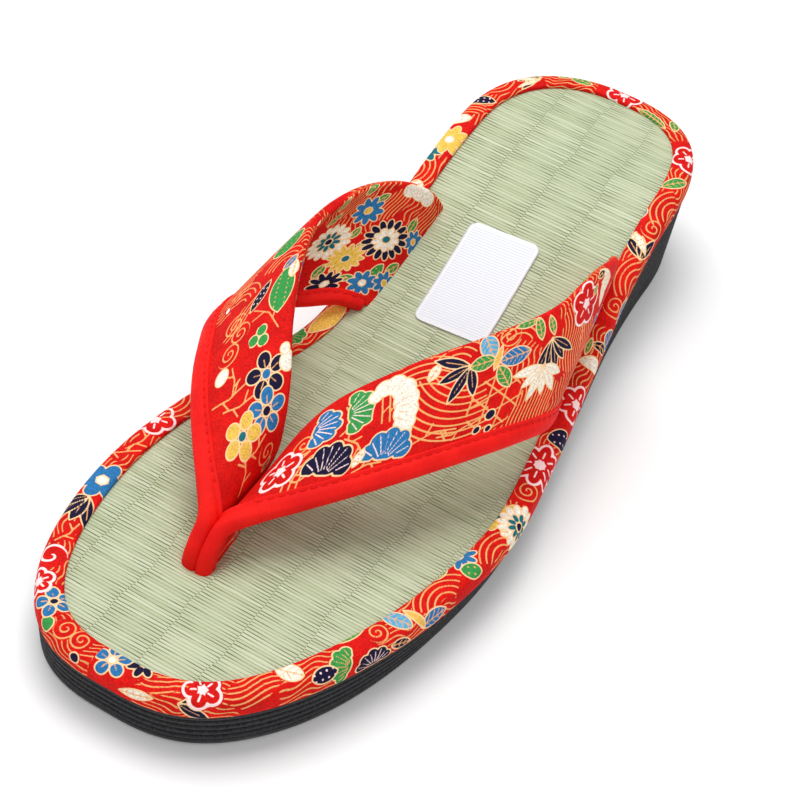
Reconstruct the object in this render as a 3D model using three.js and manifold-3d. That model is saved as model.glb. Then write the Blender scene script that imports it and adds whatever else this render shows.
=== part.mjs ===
// A zori, the left sandal of a pair: a ribbed wedge sole, a rush-mat footbed with a cloth-bound rim, and a
// padded cloth thong with piped front edges. Millimetres, +Z up, the floor at Z = 0. The toe points to -Y,
// the heel to +Y, and the arch side with the big toe is -X. Heights called "over" are over the footbed.
import * as THREE from "three";
import Module from "manifold-3d";

const wasm = await Module();
wasm.setup();

// Overall sizes
const LENGTH = 250;
const FOREFOOT_TOP = 17.2;
const HEEL_TOP = 35.9;
const RISE_START = 0.511;
const RISE_END = 0.967;
const EDGE_HEIGHT = 5.4;
const GAP = 0.3;

// Plan of the footbed at shares of the length from the toe: half width, middle line, how far the sole is
// drawn in at the floor, and the width of the cloth rim on top
const OUTLINE = [
  { along: 0.0, half: 45.6, centre: -3.9, floor: 1.7, flange: 7.4 },
  { along: 0.12, half: 46.8, centre: -0.8, floor: 0.9, flange: 7.0 },
  { along: 0.25, half: 47.3, centre: 2.9, floor: 2.5, flange: 6.6 },
  { along: 0.38, half: 44.7, centre: 7.0, floor: 3.4, flange: 6.4 },
  { along: 0.5, half: 38.6, centre: 8.7, floor: 2.0, flange: 6.4 },
  { along: 0.62, half: 36.3, centre: 5.4, floor: 1.5, flange: 6.6 },
  { along: 0.75, half: 35.1, centre: 1.2, floor: 1.8, flange: 7.2 },
  { along: 0.88, half: 34.1, centre: 0.0, floor: 2.0, flange: 8.2 },
  { along: 1.0, half: 33.4, centre: 2.1, floor: 1.5, flange: 8.4 },
];
const TOE_SPAN = 0.445;
const TOE_POWER = 2.81;
const HEEL_SPAN = 0.15;
const HEEL_POWER = 2.38;
const TIP = 0.0006;
const STATIONS = 32;

// Sole
const RIB_PITCH = 2.0;
const RIB_DEPTH = 0.45;
const SOLE_INSET_TOP = 0.3;
const SOLE_BEVEL = 1.0;
const REACH = 90;
const BLOCK_STEPS = 60;

// Rim of the footbed
const BINDING_WALL = 1.0;
const BINDING_ROUND = 2.2;
const ROUND_STEPS = 3;

// Thong: sections from the centre seam (at 0) to the slit (at 1). Front edge and rear edge are each a plan
// place and a height over the footbed; crown is the bow of the band across its width.
const LATERAL = [
  { at: 0.0, fx: -4.6, fy: -79.4, fo: 7.6, rx: -4.6, ry: -52.3, ro: 8.2, crown: 0.0 },
  { at: 0.06, fx: 2.4, fy: -72.6, fo: 11.6, rx: -1.6, ry: -47.2, ro: 15.8, crown: 0.6 },
  { at: 0.12, fx: 8.1, fy: -66.6, fo: 13.4, rx: 2.2, ry: -42.4, ro: 21.8, crown: 1.0 },
  { at: 0.26, fx: 20.3, fy: -53.3, fo: 17.3, rx: 13.1, ry: -27.9, ro: 30.2, crown: 1.0 },
  { at: 0.42, fx: 31.8, fy: -37.0, fo: 19.4, rx: 25.0, ry: -8.4, ro: 33.4, crown: 0.6 },
  { at: 0.58, fx: 40.3, fy: -19.5, fo: 18.0, rx: 33.2, ry: 13.1, ro: 32.2, crown: 0.4 },
  { at: 0.72, fx: 42.9, fy: -5.2, fo: 13.4, rx: 34.6, ry: 33.3, ro: 27.9, crown: 0.3 },
  { at: 0.84, fx: 39.7, fy: 6.3, fo: 8.2, rx: 33.6, ry: 48.3, ro: 17.6, crown: 0.3 },
  { at: 0.93, fx: 34.4, fy: 14.2, fo: 4.6, rx: 30.6, ry: 57.6, ro: 8.2, crown: 0.2 },
  { at: 1.0, fx: 29.5, fy: 19.6, fo: -0.6, rx: 28.4, ry: 61.8, ro: -0.6, crown: 0.0 },
];
const MEDIAL = [
  { at: 0.0, fx: -5.8, fy: -79.4, fo: 7.6, rx: -4.6, ry: -52.3, ro: 8.2, crown: 0.0 },
  { at: 0.06, fx: -12.2, fy: -73.3, fo: 11.9, rx: -7.0, ry: -47.0, ro: 15.8, crown: 0.6 },
  { at: 0.12, fx: -16.8, fy: -67.8, fo: 13.3, rx: -10.0, ry: -41.7, ro: 20.8, crown: 0.8 },
  { at: 0.26, fx: -26.8, fy: -54.9, fo: 15.8, rx: -19.3, ry: -27.5, ro: 28.2, crown: 0.4 },
  { at: 0.42, fx: -36.0, fy: -39.0, fo: 15.6, rx: -28.8, ry: -8.5, ro: 29.1, crown: 0.0 },
  { at: 0.58, fx: -42.3, fy: -22.0, fo: 12.6, rx: -34.8, ry: 11.9, ro: 27.4, crown: 0.0 },
  { at: 0.72, fx: -39.5, fy: -7.5, fo: 8.8, rx: -32.5, ry: 30.2, ro: 23.6, crown: 0.4 },
  { at: 0.84, fx: -32.0, fy: 2.6, fo: 6.6, rx: -27.2, ry: 43.8, ro: 16.2, crown: 0.4 },
  { at: 0.93, fx: -25.8, fy: 10.8, fo: 4.6, rx: -23.2, ry: 52.0, ro: 7.4, crown: 0.2 },
  { at: 1.0, fx: -21.2, fy: 17.0, fo: -0.6, rx: -21.7, ry: 56.4, ro: -0.6, crown: 0.0 },
];
const BAND_THICK = 3.0;
const BAND_STEPS = 38;
const NUDGE = 0.004;
const BAND_CROSS = 5;
const TAIL_DEPTH = 3.0;
const TAIL_RISE = 3.4;
const THONG_CLEAR = 1.6;
const BALL_Y = -55;
const SLIT_PLAY = 0.35;
const SLIT_DEPTH = 7.0;
const TAIL_STEPS = 6;

// Toe post: the piping rises from its foot to the seam, with the web of the thong behind it
const POST = [
  { at: -0.16, fx: 1.85, fy: -85.6, fo: -3.0, ax: 0.0, ay: 1.0, ao: 0.0 },
  { at: -0.12, fx: 1.85, fy: -85.0, fo: 1.2, ax: 0.0, ay: 1.0, ao: -0.1 },
  { at: -0.06, fx: 1.9, fy: -82.6, fo: 5.6, ax: 0.0, ay: 1.0, ao: -0.1 },
  { at: -0.02, fx: 2.2, fy: -79.6, fo: 8.6, ax: 0.0, ay: 1.0, ao: 0.0 },
];
const POST_X = -5.3;
const PIPING_WIDTH = 7.0;
const PIPING_THICK = 4.0;
const PIPING_STEPS = 48;
const PIPING_POINTS = 10;
const PIPING_END = 0.985;
const PIPING_LEAN = 0.3;
const WEB = [
  { over: -3.0, front: -84.0, rear: -77.0 },
  { over: 1.0, front: -83.0, rear: -76.8 },
  { over: 5.5, front: -80.0, rear: -66.0 },
  { over: 8.4, front: -78.0, rear: -54.0 },
];
const WEB_THICK = 5.4;
const TOE_HOLE = { x: POST_X, y: -82.2, halfX: 4.6, halfY: 6.4, power: 3.2, points: 20 };

// Label on the heel of the footbed
const LABEL = { x: 0.7, y: 39.3, wide: 21, long: 37, corner: 2.6, turn: 0.085, thick: 0.35, steps: 8 };

// Value of a table column between its rows: a cubic through each row, with the slope at a row that of the
// parabola through it and its neighbours.
function column(rows, place, key, at) {
  let i = 0;
  while (i < rows.length - 2 && at > rows[i + 1][place]) {
    i += 1;
  }
  const step = (j) => rows[j + 1][place] - rows[j][place];
  const slope = (j) => (rows[j + 1][key] - rows[j][key]) / step(j);
  const tangent = (j) => {
    if (j === 0) {
      return slope(0);
    }
    if (j === rows.length - 1) {
      return slope(j - 1);
    }
    return (slope(j - 1) * step(j) + slope(j) * step(j - 1)) / (step(j - 1) + step(j));
  };
  const t = (at - rows[i][place]) / step(i);
  const rise = 3 * t * t - 2 * t * t * t;
  const leave = (t - 2 * t * t + t * t * t) * step(i);
  const arrive = (t * t * t - t * t) * step(i);
  return rows[i][key] * (1 - rise) + rows[i + 1][key] * rise + tangent(i) * leave + tangent(i + 1) * arrive;
}

// Top of the bound rim: level under the forefoot, then one smooth climb to the heel
function rimTop(y) {
  const share = (y / LENGTH + 0.5 - RISE_START) / (RISE_END - RISE_START);
  return FOREFOOT_TOP + (HEEL_TOP - FOREFOOT_TOP) * THREE.MathUtils.smoothstep(share, 0, 1);
}

function footbedTop(y) {
  return rimTop(y) - BINDING_WALL - GAP;
}

function soleTop(y) {
  return rimTop(y) - EDGE_HEIGHT;
}

// Edge of the plan at a share of the length: table width, closed by a superellipse at the toe and heel
function edgePoint(along, side) {
  const toe = Math.max(0, (TOE_SPAN - along) / TOE_SPAN);
  const heel = Math.max(0, (along - 1 + HEEL_SPAN) / HEEL_SPAN);
  const toeShare = Math.pow(1 - Math.pow(toe, TOE_POWER), 1 / TOE_POWER);
  const heelShare = Math.pow(1 - Math.pow(heel, HEEL_POWER), 1 / HEEL_POWER);
  const half = column(OUTLINE, "along", "half", along) * toeShare * heelShare;
  const x = column(OUTLINE, "along", "centre", along) + side * half;
  return new THREE.Vector2(x, (along - 0.5) * LENGTH);
}

// Loop of the plan: from the toe down the arch side to the heel and back up the outer side
function planLoop() {
  const shares = [];
  for (let i = 0; i <= STATIONS; i += 1) {
    shares.push(TIP + (1 - 2 * TIP) * (1 - Math.cos((Math.PI * i) / STATIONS)) / 2);
  }
  const arch = shares.map((share) => edgePoint(share, -1));
  const outer = shares.map((share) => edgePoint(share, 1)).reverse();
  return arch.concat(outer);
}

// The loop pushed in square to itself; the amount and the height may depend on the place
function pushedIn(loop, inset, height) {
  return loop.map((point, i) => {
    const before = loop[(i + loop.length - 1) % loop.length];
    const after = loop[(i + 1) % loop.length];
    const run = after.clone().sub(before).normalize();
    const amount = inset(point.y);
    const x = point.x + run.y * amount;
    const y = point.y - run.x * amount;
    return new THREE.Vector3(x, y, height(y));
  });
}

// Closed body from points and triangles, turned so that its faces look out
function body(points, faces) {
  let volume = 0;
  for (const [a, b, c] of faces) {
    volume += points[a].dot(points[b].clone().cross(points[c]));
  }
  const turned = volume < 0 ? faces.map(([a, b, c]) => [a, c, b]) : faces;
  const vertProperties = Float32Array.from(points.flatMap((p) => [p.x, p.y, p.z]));
  const triVerts = Uint32Array.from(turned.flat());
  return new wasm.Manifold(new wasm.Mesh({ numProp: 3, vertProperties, triVerts }));
}

function wallFaces(count, near, far, faces) {
  for (let i = 0; i < count; i += 1) {
    const j = (i + 1) % count;
    faces.push([near + i, near + j, far + j], [near + i, far + j, far + i]);
  }
}

// Rings stacked into a body. Each ring is a ladder: its first half runs out, its second half comes back.
function stack(rings) {
  const count = rings[0].length;
  const faces = [];
  for (let r = 0; r + 1 < rings.length; r += 1) {
    wallFaces(count, r * count, (r + 1) * count, faces);
  }
  const last = (rings.length - 1) * count;
  for (let i = 0; i + 1 < count / 2; i += 1) {
    const a = count - 1 - i;
    faces.push([i, a, a - 1], [i, a - 1, i + 1]);
    faces.push([last + i, last + a - 1, last + a], [last + i, last + i + 1, last + a - 1]);
  }
  return body(rings.flat(), faces);
}

// Rings joined in a circle
function hoop(rings) {
  const count = rings[0].length;
  const faces = [];
  for (let r = 0; r < rings.length; r += 1) {
    wallFaces(count, r * count, ((r + 1) % rings.length) * count, faces);
  }
  return body(rings.flat(), faces);
}

// Block between two heights that follow the length, from a place on the length to behind the heel
function block(start, low, high) {
  const places = [];
  for (let i = 0; i <= BLOCK_STEPS; i += 1) {
    places.push(start + ((LENGTH - start) * i) / BLOCK_STEPS);
  }
  const side = (x) => {
    const under = places.map((y) => new THREE.Vector3(x, y, low(y)));
    const over = places.map((y) => new THREE.Vector3(x, y, high(y))).reverse();
    return under.concat(over);
  };
  return stack([side(-REACH), side(REACH)]);
}

// Wedge sole: level ribs round the side, bevelled at the floor, cut to the underside of the footbed
function soleBody(plan) {
  const rings = [];
  const top = soleTop(LENGTH / 2);
  const inset = (z, extra) => (y) => {
    const share = Math.min(1, z / soleTop(y));
    const floor = column(OUTLINE, "along", "floor", y / LENGTH + 0.5);
    return floor + (SOLE_INSET_TOP - floor) * share + extra;
  };
  rings.push(pushedIn(plan, inset(0, SOLE_BEVEL), () => 0));
  for (let z = RIB_PITCH / 2; z < top + RIB_PITCH; z += RIB_PITCH) {
    rings.push(pushedIn(plan, inset(z, 0), () => z));
    rings.push(pushedIn(plan, inset(z, RIB_DEPTH), () => z + RIB_PITCH / 2));
  }
  return stack(rings).subtract(block(-LENGTH, soleTop, () => REACH));
}

// Footbed board, its upper corner taken off under the rounded rim
function boardBody(plan) {
  const side = BINDING_WALL + GAP;
  const under = (y) => soleTop(y) + GAP;
  const shoulder = (y) => rimTop(y) - BINDING_ROUND - BINDING_WALL;
  return stack([
    pushedIn(plan, () => side, under),
    pushedIn(plan, () => side, shoulder),
    pushedIn(plan, () => side + BINDING_ROUND - BINDING_WALL, footbedTop),
  ]);
}

// Cloth rim: a wall round the board, a rounded corner and a flange that lies on the footbed
function rimBody(plan) {
  const flange = (y) => column(OUTLINE, "along", "flange", y / LENGTH + 0.5);
  const profile = [{ inset: () => 0, drop: EDGE_HEIGHT - GAP }];
  for (let i = 0; i <= ROUND_STEPS; i += 1) {
    const turn = (Math.PI / 2) * (i / ROUND_STEPS);
    const inset = () => BINDING_ROUND * (1 - Math.cos(turn));
    profile.push({ inset, drop: BINDING_ROUND * (1 - Math.sin(turn)) });
  }
  profile.push({ inset: (y) => flange(y) - BINDING_WALL / 2, drop: 0 });
  profile.push({ inset: flange, drop: BINDING_WALL });
  profile.push({ inset: () => BINDING_ROUND, drop: BINDING_WALL });
  profile.push({ inset: () => BINDING_WALL, drop: BINDING_ROUND });
  profile.push({ inset: () => BINDING_WALL, drop: EDGE_HEIGHT - GAP });
  return hoop(profile.map((row) => pushedIn(plan, row.inset, (y) => rimTop(y) - row.drop)));
}

function edgeAt(rows, at, edge) {
  const x = column(rows, "at", `${edge}x`, at);
  const y = column(rows, "at", `${edge}y`, at);
  return new THREE.Vector3(x, y, footbedTop(y) + column(rows, "at", `${edge}o`, at));
}

// Middle of a band: straight from its front edge to its rear edge, bowed out by the crown
function bandPoint(rows, at, cross) {
  const front = edgeAt(rows, at, "f");
  const rear = edgeAt(rows, at, "r");
  const ahead = edgeAt(rows, at + NUDGE, "f").add(edgeAt(rows, at + NUDGE, "r"));
  const behind = edgeAt(rows, at - NUDGE, "f").add(edgeAt(rows, at - NUDGE, "r"));
  const out = rear.clone().sub(front).cross(ahead.sub(behind)).normalize();
  const bow = column(rows, "at", "crown", at) * 4 * cross * (1 - cross);
  return front.lerp(rear, cross).addScaledVector(out, bow * bandSide(rows));
}

// The outer face is to the left of the run on the outer band and to the right of it on the arch band
function bandSide(rows) {
  return rows[rows.length - 1].fx > 0 ? -1 : 1;
}

function bandNormal(rows, at, cross) {
  const along = bandPoint(rows, at + NUDGE, cross).sub(bandPoint(rows, at - NUDGE, cross));
  const across = bandPoint(rows, at, cross + NUDGE).sub(bandPoint(rows, at, cross - NUDGE));
  return across.cross(along).normalize().multiplyScalar(bandSide(rows));
}

function bandBody(rows) {
  const rings = [];
  for (let i = 0; i <= BAND_STEPS; i += 1) {
    const at = i / BAND_STEPS;
    const outer = [];
    const inner = [];
    for (let j = 0; j <= BAND_CROSS; j += 1) {
      const middle = bandPoint(rows, at, j / BAND_CROSS);
      const half = bandNormal(rows, at, j / BAND_CROSS).multiplyScalar(BAND_THICK / 2);
      outer.push(middle.clone().add(half));
      inner.unshift(middle.sub(half));
    }
    rings.push(outer.concat(inner));
  }
  return stack(rings);
}

// Upright slab through the footbed where a band ends, grown by the play given
function tailBody(rows, play, low, high) {
  const end = rows[rows.length - 1];
  const start = new THREE.Vector2(end.fx, end.fy);
  const stop = new THREE.Vector2(end.rx, end.ry);
  const run = stop.clone().sub(start).normalize();
  start.addScaledVector(run, -play);
  stop.addScaledVector(run, play);
  const half = BAND_THICK / 2 + play;
  const ring = (over) => {
    const one = [];
    const other = [];
    for (let i = 0; i <= TAIL_STEPS; i += 1) {
      const p = start.clone().lerp(stop, i / TAIL_STEPS);
      one.push(new THREE.Vector3(p.x - run.y * half, p.y + run.x * half, footbedTop(p.y) + over));
      other.unshift(new THREE.Vector3(p.x + run.y * half, p.y - run.x * half, footbedTop(p.y) + over));
    }
    return one.concat(other);
  };
  return stack([ring(low), ring(high)]);
}

// Web of the toe post: an upright blade that spreads back from the footbed to the crotch of the bands
function webBody() {
  const rings = WEB.map((row) => {
    const half = WEB_THICK / 2;
    const z = (y) => footbedTop(y) + row.over;
    return [
      new THREE.Vector3(POST_X - half, row.front, z(row.front)),
      new THREE.Vector3(POST_X - half, row.rear, z(row.rear)),
      new THREE.Vector3(POST_X + half, row.rear, z(row.rear)),
      new THREE.Vector3(POST_X + half, row.front, z(row.front)),
    ];
  });
  return stack(rings);
}

// Path of one piping: up the toe post and along the front edge of its band, with the direction across it
function pipingPath(rows) {
  const side = -bandSide(rows);
  const post = POST.map((row) => {
    const place = new THREE.Vector3(POST_X + side * row.fx, row.fy, footbedTop(row.fy) + row.fo);
    return { at: row.at, place, across: new THREE.Vector3(row.ax, row.ay, row.ao) };
  });
  const front = rows.slice(1).map((row) => {
    const place = edgeAt(rows, row.at, "f");
    return { at: row.at, place, across: bandPoint(rows, row.at, PIPING_LEAN).sub(bandPoint(rows, row.at, 0)) };
  });
  return post.concat(front).map((row) => {
    const across = row.across.normalize();
    const { x: px, y: py, z: pz } = row.place;
    return { at: row.at, px, py, pz, ax: across.x, ay: across.y, az: across.z };
  });
}

// Flat rounded tube along the path, grown by the play given
function pipingBody(rows, play) {
  const path = pipingPath(rows);
  const value = (key, at) => column(path, "at", key, at);
  const spot = (at) => new THREE.Vector3(value("px", at), value("py", at), value("pz", at));
  const wide = PIPING_WIDTH / 2 + play;
  const thick = PIPING_THICK / 2 + play;
  const begin = path[0].at;
  const rings = [];
  for (let i = 0; i <= PIPING_STEPS; i += 1) {
    const at = begin + (PIPING_END - begin) * (i / PIPING_STEPS);
    const run = spot(at + NUDGE).sub(spot(at - NUDGE)).normalize();
    const across = new THREE.Vector3(value("ax", at), value("ay", at), value("az", at));
    across.addScaledVector(run, -across.dot(run)).normalize();
    const out = run.clone().cross(across);
    const centre = spot(at).addScaledVector(across, PIPING_WIDTH / 2 - PIPING_THICK / 2);
    const ring = [];
    for (let k = 0; k < PIPING_POINTS; k += 1) {
      const turn = (2 * Math.PI * (k + 0.5)) / PIPING_POINTS;
      const c = Math.cos(turn);
      const s = Math.sin(turn);
      const a = Math.sign(c) * Math.sqrt(Math.abs(c)) * wide;
      ring.push(centre.clone().addScaledVector(across, a).addScaledVector(out, s * thick));
    }
    rings.push(ring);
  }
  return stack(rings);
}

function toeHole() {
  const ring = (z) => {
    const points = [];
    for (let k = 0; k < TOE_HOLE.points; k += 1) {
      const turn = (2 * Math.PI * (k + 0.5)) / TOE_HOLE.points;
      const grow = Math.pow(
        Math.pow(Math.abs(Math.cos(turn)), TOE_HOLE.power) + Math.pow(Math.abs(Math.sin(turn)), TOE_HOLE.power),
        -1 / TOE_HOLE.power,
      );
      const x = TOE_HOLE.x + TOE_HOLE.halfX * grow * Math.sin(turn);
      points.push(new THREE.Vector3(x, TOE_HOLE.y + TOE_HOLE.halfY * grow * Math.cos(turn), z));
    }
    return points;
  };
  return stack([ring(footbedTop(TOE_HOLE.y) - SLIT_DEPTH), ring(footbedTop(TOE_HOLE.y) + GAP)]);
}

// Sticker with rounded corners that lies along the rise of the footbed
function labelBody() {
  const one = [];
  const other = [];
  for (let i = 0; i <= LABEL.steps; i += 1) {
    const along = -Math.cos((Math.PI * i) / LABEL.steps) * (LABEL.long / 2);
    const past = Math.max(0, Math.abs(along) - LABEL.long / 2 + LABEL.corner);
    const half = LABEL.wide / 2 - LABEL.corner + Math.sqrt(LABEL.corner ** 2 - past ** 2);
    one.push(new THREE.Vector2(-half, along));
    other.unshift(new THREE.Vector2(half, along));
  }
  const ring = (over) => one.concat(other).map((p) => {
    const q = p.clone().rotateAround(new THREE.Vector2(), LABEL.turn);
    const y = LABEL.y + q.y;
    return new THREE.Vector3(LABEL.x + q.x, y, footbedTop(y) + over);
  });
  return stack([ring(GAP), ring(GAP + LABEL.thick)]);
}

// The main body of a cut, without the crumbs beside it
function largest(solid) {
  return solid.decompose().reduce((best, piece) => (piece.volume() > best.volume() ? piece : best));
}

const group = new THREE.Group();
group.name = "zori_sandal";

function addPart(name, solid, color, roughness) {
  const mesh = solid.getMesh();
  const geometry = new THREE.BufferGeometry();
  geometry.setAttribute("position", new THREE.BufferAttribute(Float32Array.from(mesh.vertProperties), 3));
  geometry.setIndex(new THREE.BufferAttribute(Uint32Array.from(mesh.triVerts), 1));
  geometry.computeVertexNormals();
  const part = new THREE.Mesh(geometry, new THREE.MeshStandardMaterial({ color, roughness, metalness: 0 }));
  part.name = name;
  group.add(part);
}

const plan = planLoop();
const slits = [LATERAL, MEDIAL].map((rows) => tailBody(rows, SLIT_PLAY, -SLIT_DEPTH, TAIL_RISE));
const pipingRoom = pipingBody(LATERAL, GAP).add(pipingBody(MEDIAL, GAP));
const underThong = block(BALL_Y, () => -REACH, (y) => footbedTop(y) + THONG_CLEAR);
const piping = pipingBody(LATERAL, 0).add(pipingBody(MEDIAL, 0)).subtract(underThong);
const bands = bandBody(LATERAL).add(bandBody(MEDIAL)).subtract(underThong);
const tails = [LATERAL, MEDIAL].map((rows) => tailBody(rows, 0, -TAIL_DEPTH, TAIL_RISE));
const thong = largest(bands.add(tails[0]).add(tails[1]).add(webBody()).subtract(pipingRoom));

addPart("sole", soleBody(plan), 0x2a2a2d, 0.85);
addPart("insole", boardBody(plan).subtract(slits[0]).subtract(slits[1]).subtract(toeHole()), 0xb9c08c, 0.8);
addPart("edge_binding", rimBody(plan).subtract(slits[0]).subtract(slits[1]), 0xc8231c, 0.75);
addPart("strap", thong, 0xd4261d, 0.7);
addPart("strap_piping", piping, 0xdf1f18, 0.55);
addPart("label", labelBody(), 0xeeeeea, 0.6);

export default group;
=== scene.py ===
"""Dresses the left zori: ribbed wedge sole, rush mat, printed cloth rim, padded printed thong, red piping, sticker.
Sizes are millimetres in the frame of the part: toe to -Y, arch side to -X, floor at Z = 0."""
import bpy
import numpy as np
from mathutils import Matrix, Vector


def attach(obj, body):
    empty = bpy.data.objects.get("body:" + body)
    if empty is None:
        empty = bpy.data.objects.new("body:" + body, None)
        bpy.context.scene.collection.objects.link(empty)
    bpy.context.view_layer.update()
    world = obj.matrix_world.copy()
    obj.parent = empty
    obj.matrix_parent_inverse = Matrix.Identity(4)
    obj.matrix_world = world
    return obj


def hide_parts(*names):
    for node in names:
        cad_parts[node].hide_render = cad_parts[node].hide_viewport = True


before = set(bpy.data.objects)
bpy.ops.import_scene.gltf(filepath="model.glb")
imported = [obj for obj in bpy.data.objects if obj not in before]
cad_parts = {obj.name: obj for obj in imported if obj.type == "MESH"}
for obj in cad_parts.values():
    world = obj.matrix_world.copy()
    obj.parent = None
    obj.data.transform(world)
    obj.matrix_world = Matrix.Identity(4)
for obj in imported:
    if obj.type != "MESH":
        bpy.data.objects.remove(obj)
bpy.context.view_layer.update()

MM = 0.001
TAU = 2 * np.pi

# Footbed and sole
LENGTH = 250
FOREFOOT_TOP = 17.2
HEEL_TOP = 35.9
RISE_START = 0.511
RISE_END = 0.967
EDGE_HEIGHT = 5.4
FOOTBED_DROP = 1.3
RIB_PITCH = 2.0
RIB_DEPTH = 0.6
TOE_SPAN, TOE_POWER = 0.445, 2.81
HEEL_SPAN, HEEL_POWER = 0.15, 2.38
TIP = 0.0002
PLAN_STEPS = 3000
SOLE_AROUND, SOLE_LEVELS = 330, 124
GROOVE_SOFT = 0.32
FOOT_BEVEL = 0.9
TOP_INSET = 0.3
MAT_AROUND, MAT_ACROSS = 440, 64
MAT_INSET = 1.5
TOE_DIMPLE = dict(y=-81.8, wide=5.0, long=6.8, deep=1.4)

# Plan at shares of the length: share, half width, middle line, draw-in at the floor, width of the cloth rim
OUTLINE = np.array([
    (0.00, 45.6, -3.9, 1.7, 6.8),
    (0.12, 46.8, -0.8, 0.9, 6.8),
    (0.25, 47.3, 2.9, 2.5, 6.6),
    (0.38, 44.7, 7.0, 3.4, 6.4),
    (0.50, 38.6, 8.7, 2.0, 6.4),
    (0.62, 36.3, 5.4, 1.5, 6.4),
    (0.75, 35.1, 1.2, 1.8, 6.4),
    (0.88, 34.1, 0.0, 2.0, 6.6),
    (1.00, 33.4, 2.1, 1.5, 5.8),
])

# Thong sections from the toe post (below 0) past the seam (0) to the slit (1): front edge x, y and height over
# the footbed, rear edge x, y and height, bow across the width
OUTER_BAND = np.array([
    (-0.20, -3.7, -85.6, -3.0, -3.7, -77.4, -3.0, 0.0),
    (-0.12, -3.7, -85.0, 1.2, -3.7, -71.5, 0.9, 0.0),
    (-0.06, -3.7, -82.6, 5.0, -3.6, -63.0, 4.2, 0.0),
    (0.00, -3.0, -78.8, 8.6, -3.3, -52.3, 9.2, 0.0),
    (0.06, 2.4, -72.6, 11.6, -1.2, -47.2, 15.8, 0.6),
    (0.12, 8.1, -66.6, 13.4, 2.2, -42.4, 21.8, 1.0),
    (0.26, 20.3, -53.3, 17.3, 13.1, -27.9, 30.2, 1.0),
    (0.42, 31.8, -37.0, 19.4, 25.0, -8.4, 33.4, 0.6),
    (0.58, 40.3, -19.5, 18.0, 33.2, 13.1, 32.2, 0.4),
    (0.72, 42.9, -5.2, 13.4, 34.6, 33.3, 27.9, 0.3),
    (0.84, 39.7, 6.3, 8.2, 33.6, 48.3, 17.6, 0.3),
    (0.93, 34.4, 14.2, 4.6, 30.6, 57.6, 8.2, 0.2),
    (1.00, 29.5, 19.6, -0.6, 28.4, 61.8, -0.6, 0.0),
    (1.04, 28.4, 20.4, -3.0, 28.0, 61.8, -3.0, 0.0),
])
ARCH_BAND = np.array([
    (-0.20, -6.9, -85.6, -3.0, -6.9, -77.4, -3.0, 0.0),
    (-0.12, -6.9, -85.0, 1.2, -6.9, -71.5, 0.9, 0.0),
    (-0.06, -6.9, -82.6, 5.0, -7.0, -63.0, 4.2, 0.0),
    (0.00, -7.4, -78.8, 8.6, -6.9, -52.3, 9.2, 0.0),
    (0.06, -12.2, -73.3, 11.9, -8.2, -47.0, 15.8, 0.6),
    (0.12, -16.8, -67.8, 13.3, -10.6, -41.7, 20.8, 0.8),
    (0.26, -26.8, -54.9, 15.8, -19.3, -27.5, 28.2, 0.4),
    (0.42, -36.0, -39.0, 15.6, -28.8, -8.5, 29.1, 0.0),
    (0.58, -42.3, -22.0, 12.6, -34.8, 11.9, 27.4, 0.0),
    (0.72, -39.5, -7.5, 8.8, -32.5, 30.2, 23.6, 0.4),
    (0.84, -32.0, 2.6, 6.6, -27.2, 43.8, 16.2, 0.4),
    (0.93, -25.8, 10.8, 4.6, -23.2, 52.0, 7.4, 0.2),
    (1.00, -21.2, 17.0, -0.6, -21.7, 56.4, -0.6, 0.0),
    (1.04, -21.0, 17.6, -3.0, -21.6, 56.4, -3.0, 0.0),
])
BAND_HALF = 1.5
NUDGE = 0.004

# Piping on the toe post: place, distance from the middle of the post, y, height, tilt of its width
POST_X = -5.3
POST = np.array([
    (-0.16, 1.95, -85.6, -3.0, 0.0),
    (-0.12, 1.95, -85.0, 1.2, -0.1),
    (-0.06, 2.00, -82.6, 5.6, -0.1),
    (-0.02, 2.30, -79.6, 8.6, 0.0),
])
PIPING_END = 0.985
PIPING_LEAN = 0.3

# Sticker on the heel
STICKER = dict(x=0.7, y=39.3, wide=21.0, long=37.0, corner=2.6, turn=0.085, thick=0.25)
SHEET_ALONG, SHEET_ACROSS = 90, 40
SHEET_LIFT, SHEET_UNDER = 0.3, 0.12


def through(rows, at):
    """Values between the rows of a table whose first column is the place: a cubic between neighbouring rows, whose
    slope at a row is that of the parabola through the row and its neighbours, and at the ends that of the end step."""
    place, values = rows[:, 0], rows[:, 1:]
    step = np.diff(place)[:, None]
    slope = np.diff(values, axis=0) / step
    inner = (slope[:-1] * step[1:] + slope[1:] * step[:-1]) / (step[:-1] + step[1:])
    tangent = np.concatenate([slope[:1], inner, slope[-1:]])
    at = np.asarray(at, float)
    i = np.clip(np.searchsorted(place, at) - 1, 0, len(place) - 2)
    h = step[i]
    t = (at - place[i])[..., None] / h
    rise = t * t * (3 - 2 * t)
    leave = (t - 2 * t ** 2 + t ** 3) * h
    arrive = (t ** 3 - t ** 2) * h
    return values[i] * (1 - rise) + values[i + 1] * rise + tangent[i] * leave + tangent[i + 1] * arrive


def smooth(low, high, value):
    """0 below low, 1 above high, and 3t^2 - 2t^3 between."""
    t = np.clip((value - low) / (high - low), 0, 1)
    return t * t * (3 - 2 * t)


def unit(v):
    """Vectors divided by their lengths."""
    return v / np.maximum(np.linalg.norm(v, axis=-1, keepdims=True), 1e-9)


def rim_top(y):
    """Level under the forefoot, then one smooth climb to the heel."""
    return FOREFOOT_TOP + (HEEL_TOP - FOREFOOT_TOP) * smooth(RISE_START, RISE_END, y / LENGTH + 0.5)


def footbed_top(y):
    """The mat lies a fixed drop under the top of the rim."""
    return rim_top(y) - FOOTBED_DROP


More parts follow.
